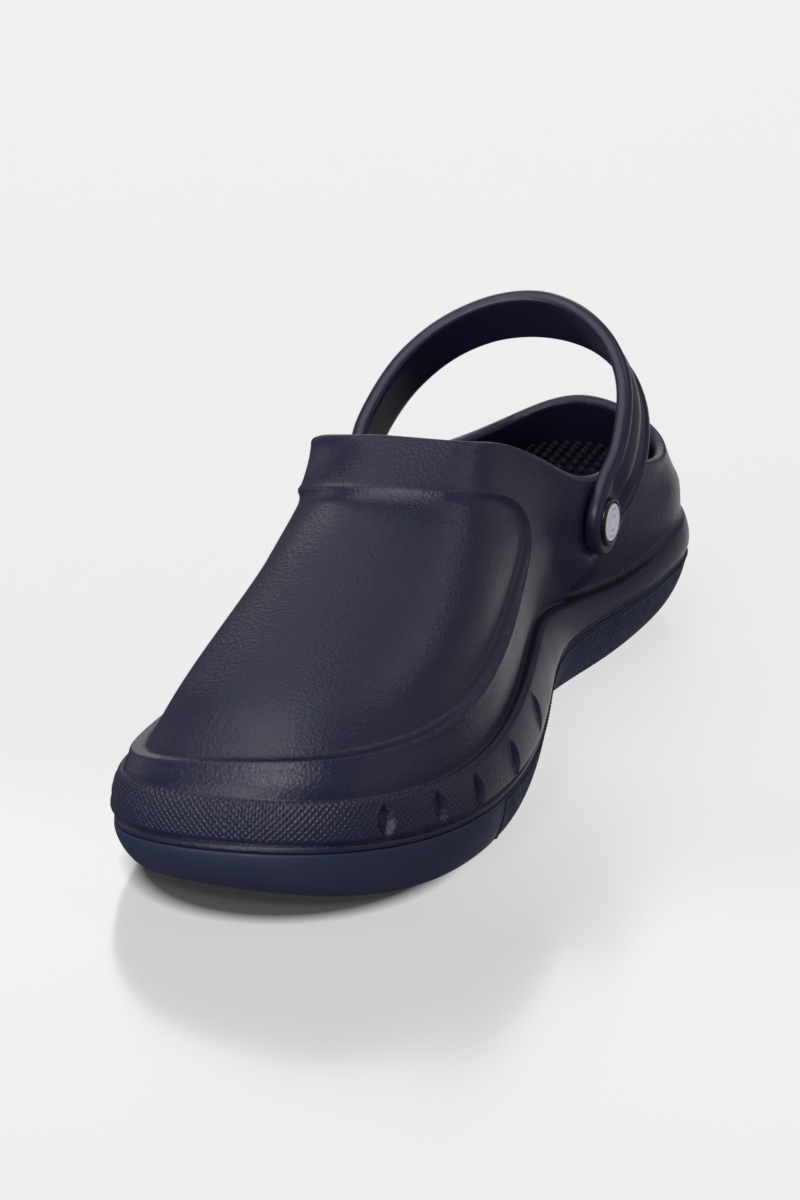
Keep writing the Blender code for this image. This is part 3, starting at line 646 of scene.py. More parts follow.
def finish_off(tree, geometry, start, end):
    """End a tree in real geometry with its material."""
    whole = add_node(tree, "GeometryNodeRealizeInstances", None, {"Geometry": geometry})
    painted = add_node(tree, "GeometryNodeSetMaterial", None,
                       {"Geometry": whole.outputs["Geometry"], "Material": start.outputs["Finish"]})
    tree.links.new(painted.outputs["Geometry"], end.inputs["Result"])


def grown_mesh(name, tree, points, edges, values):
    """Run a tree on guide points or lines and return the result as a plain mesh."""
    guide_mesh = bpy.data.meshes.new(name + "_guides")
    guide_mesh.from_pydata([tuple(point) for point in points], edges, [])
    guide = bpy.data.objects.new(name + "_guides", guide_mesh)
    bpy.context.scene.collection.objects.link(guide)
    modifier = guide.modifiers.new(name, "NODES")
    modifier.node_group = tree
    for item in tree.interface.items_tree:
        if item.in_out == "INPUT" and item.name in values:
            modifier[item.identifier] = values[item.name]
    guide.update_tag()
    graph = bpy.context.evaluated_depsgraph_get()
    grown = bpy.data.meshes.new_from_object(guide.evaluated_get(graph))
    grown.name = name
    guide.modifiers.remove(modifier)
    bpy.data.objects.remove(guide, do_unlink=True)
    return grown


# ---------------------------------------------------------------- shell

def panel_outline():
    """Stations and height shares round the sunken vamp panel, as lists from outer to arch side."""
    even = np.linspace(-1.0, 1.0, 700)
    crowded = np.sign(even) * (1.0 - (1.0 - np.abs(even)) ** 2)
    where = (PANEL_ARCH_END + PANEL_OUTER_END) / 2 + (PANEL_ARCH_END - PANEL_OUTER_END) / 2 * crowded
    table = np.array([row[1:] for row in STATIONS], float)
    values = closed_spline(table, where % len(table))
    low = values[:, COLUMNS.index("panel_low")]
    high = values[:, COLUMNS.index("panel_high")]
    for end, span in ((PANEL_ARCH_END, PANEL_ROUNDING), (PANEL_OUTER_END, -PANEL_ROUNDING)):
        along = np.clip(1.0 - (end - where) / span, 0.0, 1.0)
        close = 1.0 - np.sqrt(np.clip(1.0 - along ** 2.6, 0.0, 1.0))
        low = low + (PANEL_END_SHARE - low) * close
        high = high + (PANEL_END_SHARE - high) * close
    return where, low, high


def panel_distance(surface, steps, where):
    """Distance of surface points from the panel's edge, in metres, positive inside the panel."""
    line_where, low, high = panel_outline()
    round_where = np.concatenate([line_where, line_where[::-1]])
    round_share = np.concatenate([low, high[::-1]])
    curves = fitted_curves(station_steps(ROUND_STEPS))
    edge = surface_points(curves, round_where, round_share)
    place = counted_from_toe(where)
    inside_low = np.interp(place, line_where, low)
    inside_high = np.interp(place, line_where, high)
    within = (place > line_where[0]) & (place < line_where[-1])
    inside = within[None, :] & (steps > inside_low[None, :]) & (steps < inside_high[None, :])
    distance = np.empty(surface.shape[:2])
    for row in range(len(surface)):
        gaps = np.linalg.norm(surface[row][:, None, :] - edge[None, :, :], axis=2)
        distance[row] = gaps.min(1)
    return np.where(inside, distance, -distance)


def surface_points(curves, where, share):
    """Points of the upper at the given stations and height shares."""
    dense = curves["where"]
    grid_steps = np.linspace(0.0, 1.0, 121)
    grid = upper_surface(curves, grid_steps[:, None])
    turned = np.asarray(where) % len(STATIONS)
    closed_where = np.append(dense, len(STATIONS))
    column = np.interp(turned, closed_where, np.arange(len(closed_where)))
    left = np.floor(column).astype(int)
    side = (column - left)[:, None]
    row = np.asarray(share) * (len(grid_steps) - 1)
    below = np.clip(np.floor(row).astype(int), 0, len(grid_steps) - 2)
    up = (row - below)[:, None]
    count = len(dense)
    near = grid[below, left % count] * (1 - up) + grid[below + 1, left % count] * up
    far = grid[below, (left + 1) % count] * (1 - up) + grid[below + 1, (left + 1) % count] * up
    return near * (1 - side) + far * side


def upper_steps(curves):
    """Height shares of the upper's rings, closer together along the panel's lower and upper edges."""
    low = np.clip(curves["panel_low"], 0.08, 0.45)
    high = np.clip(curves["panel_high"], 0.62, 0.92)
    parts = []
    for start, end, count in ((np.zeros_like(low), low, 18), (low, high, 46), (high, np.ones_like(low), 20)):
        even = np.arange(count) / count
        eased = 0.45 * even + 0.55 * (0.5 - 0.5 * np.cos(math.pi * even))
        parts.append(start + (end - start) * eased[:, None])
    parts.append(np.ones((1, len(low))))
    return np.vstack(parts)


def panel_relief(distance, steps, depth):
    """Height of the sunken panel: a rolled edge on the band round it, then a valley that swells to a pillow.
    The valley is deepest across the toe and fades towards the collar."""
    depth = depth * (1.0 - 0.55 * smooth((steps - 0.25) / 0.45))
    step = 1.0 - (1.0 - np.clip((distance + 0.0003) / 0.0036, 0.0, 1.0)) ** 2.2
    swell = 0.08 + 0.92 * np.exp(-(np.maximum(distance - 0.002, 0.0) / 0.011) ** 1.6)
    rolled = 0.0004 * np.exp(-((distance + 0.0009) / 0.0009) ** 2)
    return rolled - depth * step * swell


def crease_relief(steps, where, station_length):
    """Height of the fold under the strap end: the vamp side stands proud of the heel counter."""
    fold = np.zeros(steps.shape)
    for foot, lean, front in CREASES:
        ahead = (where[None, :] - foot - lean * steps) * front * station_length[None, :]
        face = smooth(ahead / 0.0008 + 0.5) * np.exp(-np.maximum(ahead, 0.0) / 0.018)
        behind = -0.8 * smooth(0.5 - ahead / 0.0008) * np.exp(-np.maximum(-ahead, 0.0) / 0.012)
        tall = 1.0 - smooth((steps - 0.36) / 0.2)
        fold += 0.0019 * (face + behind) * tall
    return fold


def front_share(curves, edge, width):
    """1 round the toe, easing to 0 at edge stations from the toe tip on either side."""
    from_toe = np.minimum(curves["where"], len(STATIONS) - curves["where"])
    return smooth((edge + width / 2 - from_toe) / width)


def foxing_rings(curves):
    """Rings of the foxing band: a bead over the parting, a crease, the bulging band and the shelf."""
    band = curves["foxing"] - curves["parting"]
    lip = (0.5 + 0.5 * front_share(curves, 3.2, 2.0)) * MM
    rings = []
    shares = []
    for inset, rise in ((0.45, 0.07), (0.2, 0.2), (0.05, 0.5), (0.05, 0.95), (0.15, 1.4), (0.45, 1.8),
                        (0.9, 2.05), (0.95, 2.25), (0.5, 2.5), (0.15, 2.9)):
        rings.append(edge_ring(curves, inset * lip, curves["parting"] + rise * lip))
        shares.append(rise * lip / band)
    low = shares[-1]
    for step in np.linspace(0.08, 1.0, 18):
        share = low + (0.93 - low) * step
        bulge = FOXING_BULGE * MM * np.sin(math.pi * np.clip(share, 0.0, 1.0) ** 0.8)
        rings.append(edge_ring(curves, curves["lean"] * share ** 2.4 - bulge,
                               curves["parting"] + band * share))
        shares.append(share)
    for share, inset in ((0.965, 0.15), (0.99, 0.45), (1.0, 0.85)):
        rings.append(edge_ring(curves, curves["lean"] + inset * MM, curves["parting"] + band * share))
        shares.append(np.full(len(band), share))
    shelf = curves["groove"] - curves["lean"] - 0.85 * MM
    for across, dip in ((0.3, 0.4), (0.6, 0.9), (0.85, 0.9)):
        rings.append(edge_ring(curves, curves["lean"] + 0.85 * MM + shelf * across,
                               curves["foxing"] - dip * MM * np.minimum(shelf / 0.002, 1.0)))
        shares.append(np.full(len(band), 1.0))
    return np.array(rings), np.array(shares)


def eased_profile(rings, reach, first, last):
    """Round the creases between two rings, by blending every point with its neighbours up and down the wall.
    Reach is the blending distance at each station, in metres."""
    gaps = np.linalg.norm(np.diff(rings, axis=0), axis=2)
    along = np.concatenate([np.zeros((1, gaps.shape[1])), np.cumsum(gaps, axis=0)])
    share = np.gradient(along, axis=0)
    eased = rings.copy()
    for row in range(first, last):
        fade = min(1.0, (row - first + 1) / 5, (last - row) / 8)
        weight = np.exp(-0.5 * ((along - along[row]) / np.maximum(reach * fade, 0.0001)) ** 2) * share
        eased[row] = (rings * weight[..., None]).sum(0) / weight.sum(0)[:, None]
    return eased


def pressed_dimples(rings, shares, curves, depth):
    """Press lens-shaped dimples into the foxing. Returns the rings, and 0 where a dimple leaves it plain."""
    patterned = np.ones(rings.shape[:2])
    inside = inward(curves)
    plan = plan_of(curves)
    band = curves["foxing"] - curves["parting"]
    for station, middle in DIMPLES_ARCH + DIMPLES_OUTER:
        at = fitted_curves([station - 0.01, station, station + 0.01])
        centre = plan_of(at)[1]
        along = plan_of(at)[2] - plan_of(at)[0]
        along /= np.linalg.norm(along)
        sideways = (plan - centre) @ along
        near = np.linalg.norm(plan - centre, axis=1) < 0.012
        up = (shares - middle) * band[None, :]
        tall = np.abs(up / 0.0050)
        across = np.abs(sideways[None, :]) / 0.0028
        lens = np.clip(1.0 - across - tall ** 1.8, 0.0, 1.0)
        raised = np.exp(-((across + tall ** 1.8 - 1.12) / 0.14) ** 2) * 0.10
        scoop = smooth(lens * 1.5)
        patterned *= 1.0 - smooth(lens * 8.0) * near[None, :]
        push = (depth * (scoop - raised)) * near[None, :]
        rings[..., :2] += inside[None] * push[..., None]
    return rings, patterned


def seam_ring(curves, gap):
    """The ring where the shell or the outsole meets the other, gap above or below the parting."""
    return edge_ring(curves, SEAM_EDGE * MM, curves["parting"] + gap)


def footbed_floor(curves, wall):
    """Edge ring of the floor inside the shell, and the height of its middle."""
    edge = edge_ring(curves, curves["groove"] + wall * 1.25, curves["parting"] + SOLE_WEB * MM)
    return edge, (SOLE_MIDDLE + SOLE_WEB) * MM


def rolled_rim(outer, normal, direction, wall):
    """Rings round the rolled edge of the opening, from its outer to its inner side."""
    middle = outer - normal * wall / 2
    rings = []
    for angle in np.radians(np.arange(20, 180, 20)):
        swell = 1.0 + 0.16 * math.sin(angle)
        rings.append(middle + normal * math.cos(angle) * wall / 2 * swell
                     + direction * math.sin(angle) * wall / 2)
    return rings


class CLOG_OT_shell(Operator):
    """Mould the foam shell: foxing, upper with its sunken panel, rolled rim, inside and footbed floor"""
    bl_idname = "clog.shell"
    bl_label = "Foam shell"

    def execute(self, context):
        sizes = context.scene.clog_sizes
        where = station_steps(ROUND_STEPS)
        curves = fitted_curves(where)
        band_rings, band_shares = foxing_rings(curves)
        band_rings, patterned = pressed_dimples(band_rings, band_shares, curves, sizes.dimple_depth)

        steps = upper_steps(curves)
        plain = upper_surface(curves, steps)
        normals = outward(plain)
        half_pad = pad_half_spacing()
        distance = panel_distance(plain, steps, where)
        plan = plan_of(curves)
        run = np.linalg.norm(np.roll(plan, -1, 0) - np.roll(plan, 1, 0), axis=1)
        turn = (np.roll(where, -1) - np.roll(where, 1)) % len(STATIONS)
        relief = panel_relief(distance, steps, sizes.panel_depth) + crease_relief(steps, where, run / turn)
        outer = flat_pads(plain, half_pad) + normals * relief[..., None]
        side = np.concatenate([band_rings, outer])
        shelf = len(band_rings)
        reach = (0.45 + 0.85 * (1.0 - front_share(curves, 4.2, 2.4))) * MM
        side = eased_profile(side, reach, shelf - 9, shelf + 14)
        band_rings, outer = side[:shelf], side[shelf:]

        direction = outer[-1] - outer[-3]
        direction /= np.linalg.norm(direction, axis=1, keepdims=True)
        rim = rolled_rim(outer[-1], normals[-1], direction, sizes.wall)
        inside_steps = np.linspace(1.0, 0.12, 26)[:, None]
        inside_plain = upper_surface(curves, inside_steps)
        inside_normals = -outward(inside_plain)
        inside = flat_pads(inside_plain - inside_normals * sizes.wall, half_pad - sizes.wall)
        floor_edge, floor_middle = footbed_floor(curves, sizes.wall)
        wall_foot = edge_ring(curves, curves["groove"] + sizes.wall, floor_edge[:, 2] + sizes.wall / 2)

        under = seam_ring(curves, SEAT_GAP / 2 * MM)
        middle = SOLE_MIDDLE * MM + SEAT_GAP / 2 * MM
        underside = [dished_ring(under, share, middle) for share in (0.15, 0.45, 0.75, 0.93)]
        rings = underside + list(band_rings) + list(outer) + rim + list(inside) + [wall_foot, floor_edge]
        rings += [dished_ring(floor_edge, share, floor_middle) for share in (0.85, 0.6, 0.35, 0.12)]
        mesh = lofted_mesh("upper_shell", rings)

        lines = len(where)
        length = travelled(plan)
        knurl = np.zeros((len(rings), lines))
        stripes = np.zeros((len(rings), lines))
        first = len(underside)
        from_toe = np.abs(counted_from_toe(where))
        front = smooth((2.3 - from_toe) / 0.6)
        behind = smooth((from_toe - 1.9) / 0.6) * smooth((4.9 - from_toe) / 0.5)
        faded = smooth((band_shares - 0.20) / 0.08) * smooth((1.0 - band_shares) / 0.05 + 0.3)
        knurl[first:first + len(band_rings)] = faded * front[None, :] * patterned
        stripes[first:first + len(band_rings)] = faded * behind[None, :] * patterned * 0.7
        heights = np.array([np.asarray(ring)[:, 2] for ring in rings])
        flat = np.stack([np.broadcast_to(length, heights.shape), heights], -1).reshape(-1, 2)
        ends = np.zeros((1, 2))
        set_surface_map(mesh, "surface", np.vstack([ends, flat, ends]), length[-1] + run[0] / 2)
        set_point_values(mesh, "knurl", np.concatenate([[0.0], knurl.ravel(), [0.0]]))
        set_point_values(mesh, "stripes", np.concatenate([[0.0], stripes.ravel(), [0.0]]))
        add_piece("upper_shell", mesh, finish_named("moulded_eva_foam", moulded_eva_foam), "clog",
                  "shell_foam",
                  "shell")
        return {"FINISHED"}


# ---------------------------------------------------------------- outsole

def spring_lift(y):
    """Lift of the tread at the given places along the clog."""
    curves = fitted_curves([0])
    toe = curves["y"][0]
    start = drawn_origin()[1] + TOE_SPRING_START * MM
    return np.clip((start - y) / (start - toe), 0.0, 1.0) ** 2 * TOE_SPRING * MM


def side_inset(curves, share):
    """How far the outsole's side is set in, from 0 at its top to 1 at the tread, as it curls under."""
    under = curves["tuck"] + (2.6 + 1.4 * front_share(curves, 1.6, 2.0)) * MM
    return under * (1.0 - (1.0 - share ** 1.5) ** 0.7)


def side_profile(curves):
    """Rings down the side of the outsole, from the seam under the foxing to the tread edge."""
    lift = spring_lift(edge_ring(curves, curves["tuck"], 0.0)[:, 1])
    ribbed = 1.0 - front_share(curves, BUMPER_END, 0.06)
    rings = [seam_ring(curves, -SEAT_GAP / 2 * MM)]
    for inset, down in ((0.2, 0.25), (0.05, 0.45), (0.0, 0.75)):
        rings.append(edge_ring(curves, inset * MM, curves["parting"] - down * MM))
    top = curves["parting"] - 0.9 * MM
    for share in np.linspace(0.03, 0.97, 18):
        sunk = RIB_SINK * MM * ribbed * smooth(share / 0.06)
        rings.append(edge_ring(curves, side_inset(curves, share) + sunk, top + (lift - top) * share))
    under = side_inset(curves, 1.0)
    rings.append(edge_ring(curves, under - 0.2 * MM, lift + 0.12 * MM))
    rings.append(edge_ring(curves, under + 0.5 * MM, lift))
    return rings


def rib_guides(pitch):
    """Lines down the side of the outsole, a pitch apart, behind the toe bumper."""
    fine = fitted_curves(np.linspace(0.0, len(STATIONS), 3601)[:-1])
    length = travelled(plan_of(fine))
    first = np.interp(BUMPER_END, fine["where"], length)
    last = np.interp(len(STATIONS) - BUMPER_END, fine["where"], length)
    places = np.interp(np.arange(first, last, pitch), length, fine["where"])
    count = 1800
    dense = fitted_curves(np.arange(count) * len(STATIONS) / count)
    rings = np.array(side_profile(dense)[3:21])
    column = places * count / len(STATIONS)
    left = np.floor(column).astype(int)
    side = (column - left)[None, :, None]
    lines = rings[:, left % count] * (1 - side) + rings[:, (left + 1) % count] * side
    points = []
    edges = []
    for number in range(lines.shape[1]):
        start = len(points)
        points.extend(lines[:, number])
        edges.extend((start + step, start + step + 1) for step in range(len(lines) - 1))
    return points, edges


def inside_outline(points, outline):
    """Whether each plan point lies inside a closed outline."""
    inside = np.zeros(len(points), bool)
    before = np.roll(outline, 1, 0)
    for (x1, y1), (x2, y2) in zip(before, outline):
        crosses = (y1 > points[:, 1]) != (y2 > points[:, 1])
        if y1 == y2:
            continue
        at = x1 + (points[:, 1] - y1) * (x2 - x1) / (y2 - y1)
        inside ^= crosses & (points[:, 0] < at)
    return inside


def staggered_points(outline, pitch):
    """Points in staggered rows inside an outline."""
    low = outline.min(0)
    high = outline.max(0)
    rows = []
    row_gap = pitch * math.sqrt(3) / 2
    for number, y in enumerate(np.arange(low[1] + row_gap / 2, high[1], row_gap)):
        xs = np.arange(low[0] + (number % 2) * pitch / 2, high[0], pitch)
        rows.append(np.column_stack([xs, np.full(len(xs), y)]))
    points = np.vstack(rows)
    return points[inside_outline(points, outline)]


class CLOG_OT_outsole(Operator):
    """Mould the rubber outsole with its smooth toe bumper, side ribs, tread rim and lugs"""
    bl_idname = "clog.outsole"
    bl_label = "Rubber outsole"

    def execute(self, context):
        sizes = context.scene.clog_sizes
        rubber = finish_named("moulded_rubber", moulded_rubber)
        curves = fitted_curves(station_steps(ROUND_STEPS))
        side = side_profile(curves)
        tread = side[-1]
        rim_width = 0.0032
        under_edge = side_inset(curves, 1.0) + 0.5 * MM
        rim_inside = edge_ring(curves, under_edge + rim_width, 0.0)
        rim_inside[:, 2] = spring_lift(rim_inside[:, 1])
        sunk = edge_ring(curves, under_edge + rim_width + 0.0006, 0.0)
        sunk[:, 2] = spring_lift(sunk[:, 1]) + sizes.lug_height
        under = []
        for share in (0.1, 0.4, 0.7, 0.9):
            ring = dished_ring(sunk, share, 0.0)
            ring[:, 2] = spring_lift(ring[:, 1]) + sizes.lug_height
            under.append(ring)
        top = side[0]
        middle = SOLE_MIDDLE * MM - SEAT_GAP / 2 * MM
        over = [dished_ring(top, share, middle) for share in (0.93, 0.75, 0.45, 0.15)]
        rings = under + [sunk, rim_inside, tread] + side[-2::-1] + over
        mesh = lofted_mesh("outsole_body", rings)
        add_piece("outsole_body", mesh, rubber, "clog", "outsole_rubber", "outsole")

        points, edges = rib_guides(sizes.rib_pitch)
        ribs = grown_mesh("outsole_ribs", rib_tree(), points, edges, {"Width": sizes.rib_width,
                                                                      "Finish": rubber})
        ribs.shade_smooth()
        add_piece("outsole_ribs", ribs, rubber, "clog", "outsole_rubber")

        lug_width = sizes.lug_pitch - 0.0018
        field = edge_ring(curves, under_edge + rim_width + lug_width * 0.62, 0.0)[:, :2]
        spots = staggered_points(field[::4], sizes.lug_pitch)
        heights = spring_lift(spots[:, 1])
        posts = np.column_stack([spots, heights])
        lugs = grown_mesh("tread_lugs", stud_tree(), posts, [],
                          {"Width": lug_width, "Height": sizes.lug_height + 0.0006, "Top share": 1.14,
                           "Sides": 6,
                           "Finish": rubber})
        add_piece("tread_lugs", lugs, rubber, "clog", "outsole_rubber")
        return {"FINISHED"}


# ---------------------------------------------------------------- insole

def inward_open(line):
    """Unit plan vectors square to an open line, pointing left of its run."""
    along = np.gradient(line[:, :2], axis=0)
    normal = np.column_stack([-along[:, 1], along[:, 0]])
    return normal / np.linalg.norm(normal, axis=1, keepdims=True)


class CLOG_OT_insole(Operator):
    """Lay the foam insole with its nubs in the shell"""
    bl_idname = "clog.insole"
    bl_label = "Nubbed insole"

    def execute(self, context):
        sizes = context.scene.clog_sizes
        foam = finish_named("insole_foam", insole_foam)
        curves = fitted_curves(np.arange(240) * len(STATIONS) / 240)
        floor_edge, floor_middle = footbed_floor(curves, sizes.wall)
        inside = inward(curves)
        gap = 0.0009
        lift = 0.0005
        thick = 0.0040
        rings = []
        edge = floor_edge.copy()
        edge[:, :2] += inside * gap
        for share in (0.12, 0.4, 0.7, 0.9, 1.0):
            ring = dished_ring(edge, share, floor_middle)
            ring[:, 2] += lift
            rings.append(ring)
        for angle in (0.0, 30.0, 60.0, 90.0):
            ring = edge.copy()
            ring[:, :2] += inside * (1 - math.cos(math.radians(angle))) * 0.0016
            ring[:, 2] += lift + thick - 0.0012 + math.sin(math.radians(angle)) * 0.0016
            rings.append(ring)
        brim = rings[-1]
        middle = floor_middle + lift + thick
        for share in (0.97, 0.93, 0.87, 0.8, 0.7, 0.55, 0.4, 0.25, 0.12):
            rings.append(dished_ring(brim, share, middle))
        mesh = lofted_mesh("insole_body", rings)
        add_piece("insole_body", mesh, foam, "clog", "insole_foam", "insole")

        field = edge_ring(curves, curves["groove"] + sizes.wall * 1.25 + gap + 0.0045, 0.0)[:, :2]
        spots = staggered_points(field, sizes.nub_pitch)
        centre = drawn_origin()
        angle = np.arctan2(brim[:, 1] - centre[1], brim[:, 0] - centre[0])
        reach = np.hypot(brim[:, 0] - centre[0], brim[:, 1] - centre[1])
        order = np.argsort(angle)
        spot_angle = np.arctan2(spots[:, 1] - centre[1], spots[:, 0] - centre[0])
        spot_reach = np.hypot(spots[:, 0] - centre[0], spots[:, 1] - centre[1])
        share = spot_reach / np.interp(spot_angle, angle[order], reach[order], period=2 * math.pi)
        brim_height = np.interp(spot_angle, angle[order], brim[order, 2], period=2 * math.pi)
        heights = middle + (brim_height - middle) * share ** 2
        nubs = grown_mesh("insole_nubs", nub_tree(), np.column_stack([spots, heights]), [],
                          {"Width": sizes.nub_width, "Height": sizes.nub_width * 0.30, "Finish": foam})
        nubs.shade_smooth()
        add_piece("insole_nubs", nubs, foam, "clog", "insole_foam")

        spots = self.heel_spots(sizes.wall, sizes.nub_pitch * 0.7)
        nubs = grown_mesh("heel_nubs", nub_tree(), spots, [],
                          {"Width": sizes.nub_width * 0.8, "Height": sizes.nub_width * 0.4, "Finish": foam})
        nubs.shade_smooth()
        add_piece("heel_nubs", nubs, foam, "clog", "insole_foam")
        return {"FINISHED"}

    @staticmethod
    def heel_spots(wall, pitch):
        """Places for nubs on the lower inside of the heel cup."""
        curves = fitted_curves(np.linspace(0.0, len(STATIONS), 1801)[:-1])
        heel = (curves["where"] > 6.6) & (curves["where"] < 11.4)
        spots = []
        for row, share in enumerate(np.arange(0.06, 0.42, 0.07)):
            line = upper_surface(curves, np.full((1, 1), share))[0][heel]
            plan = line[:, :2] + inward_open(line) * (wall - 0.0003)
            along = travelled(plan)
            for place in np.arange(pitch * (0.5 + row % 2 / 2), along[-1], pitch):
                spots.append((np.interp(place, along, plan[:, 0]), np.interp(place, along, plan[:, 1]),
                              np.interp(place, along, line[:, 2])))
        return spots


# ---------------------------------------------------------------- strap

def strap_line(steps):
    """The strap's middle line, as (across, reach) points from the arch-side pivot over to the outer one."""
    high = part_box("heel_strap")[1]
    pivot = pivot_point()
    lean = math.radians(STRAP_LEAN)
    half_thick = STRAP_THICKNESS / 2 * MM
    half_spacing = pad_half_spacing() + STRAP_CLEARANCE * MM + half_thick
    half_width = STRAP_WIDTH / 2 * MM
    reach = (high[1] - pivot[1] - half_width * math.cos(lean)) / math.sin(lean) - half_thick
    if reach <= 0:
        raise RuntimeError("the packed strap does not reach behind its pivot")
    half = np.array(STRAP_HALF) * (half_spacing, reach)
    other = half[-2::-1] * (-1.0, 1.0)
    points = np.vstack([half, other])
    length = travelled(points)
    slopes = np.gradient(points, length, axis=0)
    slopes[0] = slopes[1] = (0.0, 1.0)
    slopes[-1] = slopes[-2] = (0.0, -1.0)
    fine = []
    for start in range(len(points) - 1):
        span = length[start + 1] - length[start]
        for t in np.arange(steps) / steps:
            fine.append(points[start] * (1 + 2 * t) * (1 - t) ** 2 + slopes[start] * span * t * (1 - t) ** 2
                        + points[start + 1] * t * t * (3 - 2 * t)
                        + slopes[start + 1] * span * t * t * (t - 1))
    fine.append(points[-1])
    return np.array(fine)


def strap_relief(from_edge, wide, middle_share):
    """Height of the mouldings on the strap's outer face: a rim all round, then a groove, a middle ridge and a
    broad channel along the band. Wide runs from the front edge to the back edge through 0 in the middle."""
    rim = smooth(from_edge / 0.0005) * (1.0 - smooth((from_edge - 0.0024) / 0.0009))
    groove = np.exp(-((wide + 0.0047) / 0.0008) ** 2)
    ridge = np.exp(-((wide + 0.0010) / 0.0020) ** 2)
    channel = np.exp(-((wide - 0.0042) / 0.0020) ** 2)
    return 0.00045 * rim + (0.0004 * ridge - 0.00035 * groove - 0.0006 * channel) * middle_share


EDGE_ANGLES = (25.0, 50.0, 75.0, 100.0, 130.0, 155.0)


def strap_section(middle, facing, across, half_width, drop, from_end):
    """One section of the strap: moulded outer face, round edges and smooth inner face."""
    under = STRAP_THICKNESS / 2 * MM
    over = under + STRAP_CROWN * MM
    radius = STRAP_WIDTH / 2 * MM
    edge = min(0.0012, half_width * 0.45)
    middle_share = smooth((from_end - 0.004) / 0.012)
    points = []

    def round_edge(side, angles):
        for angle in np.radians(angles):
            level = over - edge if angle < math.pi / 2 else edge - under
            points.append(middle + across * side * (half_width - edge + edge * math.sin(angle))
                          + facing * (level + edge * math.cos(angle)))

    for place in np.linspace(-1.0, 1.0, 41):
        wide = place * (half_width - edge)
        relief = float(strap_relief(radius - math.hypot(wide, drop), wide, middle_share))
        points.append(middle + across * wide + facing * (over + relief))
    round_edge(1.0, EDGE_ANGLES)
    for place in np.linspace(1.0, -1.0, 11):
        points.append(middle + across * place * (half_width - edge) - facing * under)
    round_edge(-1.0, EDGE_ANGLES[::-1])
    return np.array(points)


class CLOG_OT_strap(Operator):
    """Mould the heel strap: an arched band with ridges and round ends"""
    bl_idname = "clog.strap"
    bl_label = "Heel strap"

    def execute(self, context):
        pivot = pivot_point()
        lean = math.radians(STRAP_LEAN)
        up_strap = np.array([0.0, math.sin(lean), math.cos(lean)])
        across = np.array([0.0, math.cos(lean), -math.sin(lean)])
        out = np.array([1.0, 0.0, 0.0])
        radius = STRAP_WIDTH / 2 * MM
        line = strap_line(12)
        tangents = np.gradient(line, axis=0)
        angles = np.arange(8.0, 90.0, 6.0)
        rings = []
        for angle in np.radians(angles):
            rings.append(strap_section(pivot + out * line[0][0] - up_strap * radius * math.cos(angle), out,
                                       across,
                                       radius * math.sin(angle), radius * math.cos(angle), 0.0))
        lengths = travelled(line)
        for (sideways, reach), (run_x, run_r), gone in zip(line, tangents, lengths):
            size = math.hypot(run_x, run_r)
            facing = (out * run_r - up_strap * run_x) / size
            from_end = min(gone, lengths[-1] - gone)
            flare = STRAP_FLARE * smooth(from_end / 0.03) * smooth(facing[0] * math.copysign(1.0,
                                                                                             sideways) / 0.8)
            slant = across + facing * float(flare)
            rings.append(strap_section(pivot + out * sideways + up_strap * reach, facing,
                                       slant / np.linalg.norm(slant), radius, 0.0, from_end))
        for angle in np.radians(angles[::-1]):
            rings.append(strap_section(pivot + out * line[-1][0] - up_strap * radius * math.cos(angle), -out,
                                       across, radius * math.sin(angle), radius * math.cos(angle), 0.0))
        mesh = lofted_mesh("strap_band", rings)
        add_piece("strap_band", mesh, finish_named("smooth_eva_foam", smooth_eva_foam), "strap", "strap_foam",
                  "heel_strap")
        return {"FINISHED"}


# ---------------------------------------------------------------- rivets

def turned_mesh(name, profile, side, steps):
    """Mesh turned about the rivet axis from (distance from the middle, radius) pairs."""
    pivot = pivot_point()
    angles = np.arange(steps) * 2 * math.pi / steps
    rings = []
    for distance, radius in profile:
        rings.append(np.column_stack([np.full(steps, pivot[0] + side * distance),
                                      pivot[1] + radius * np.cos(angles) * side,
                                      pivot[2] + radius * np.sin(angles)]))
    return lofted_mesh(name, rings)


def rounded(distance, radius, size, first, last, count=5):
    """Points of a rounded corner centred on (distance, radius), between two angles in degrees."""
    angles = np.radians(np.linspace(first, last, count))
    return [(distance + size * math.cos(angle), radius + size * math.sin(angle)) for angle in angles]


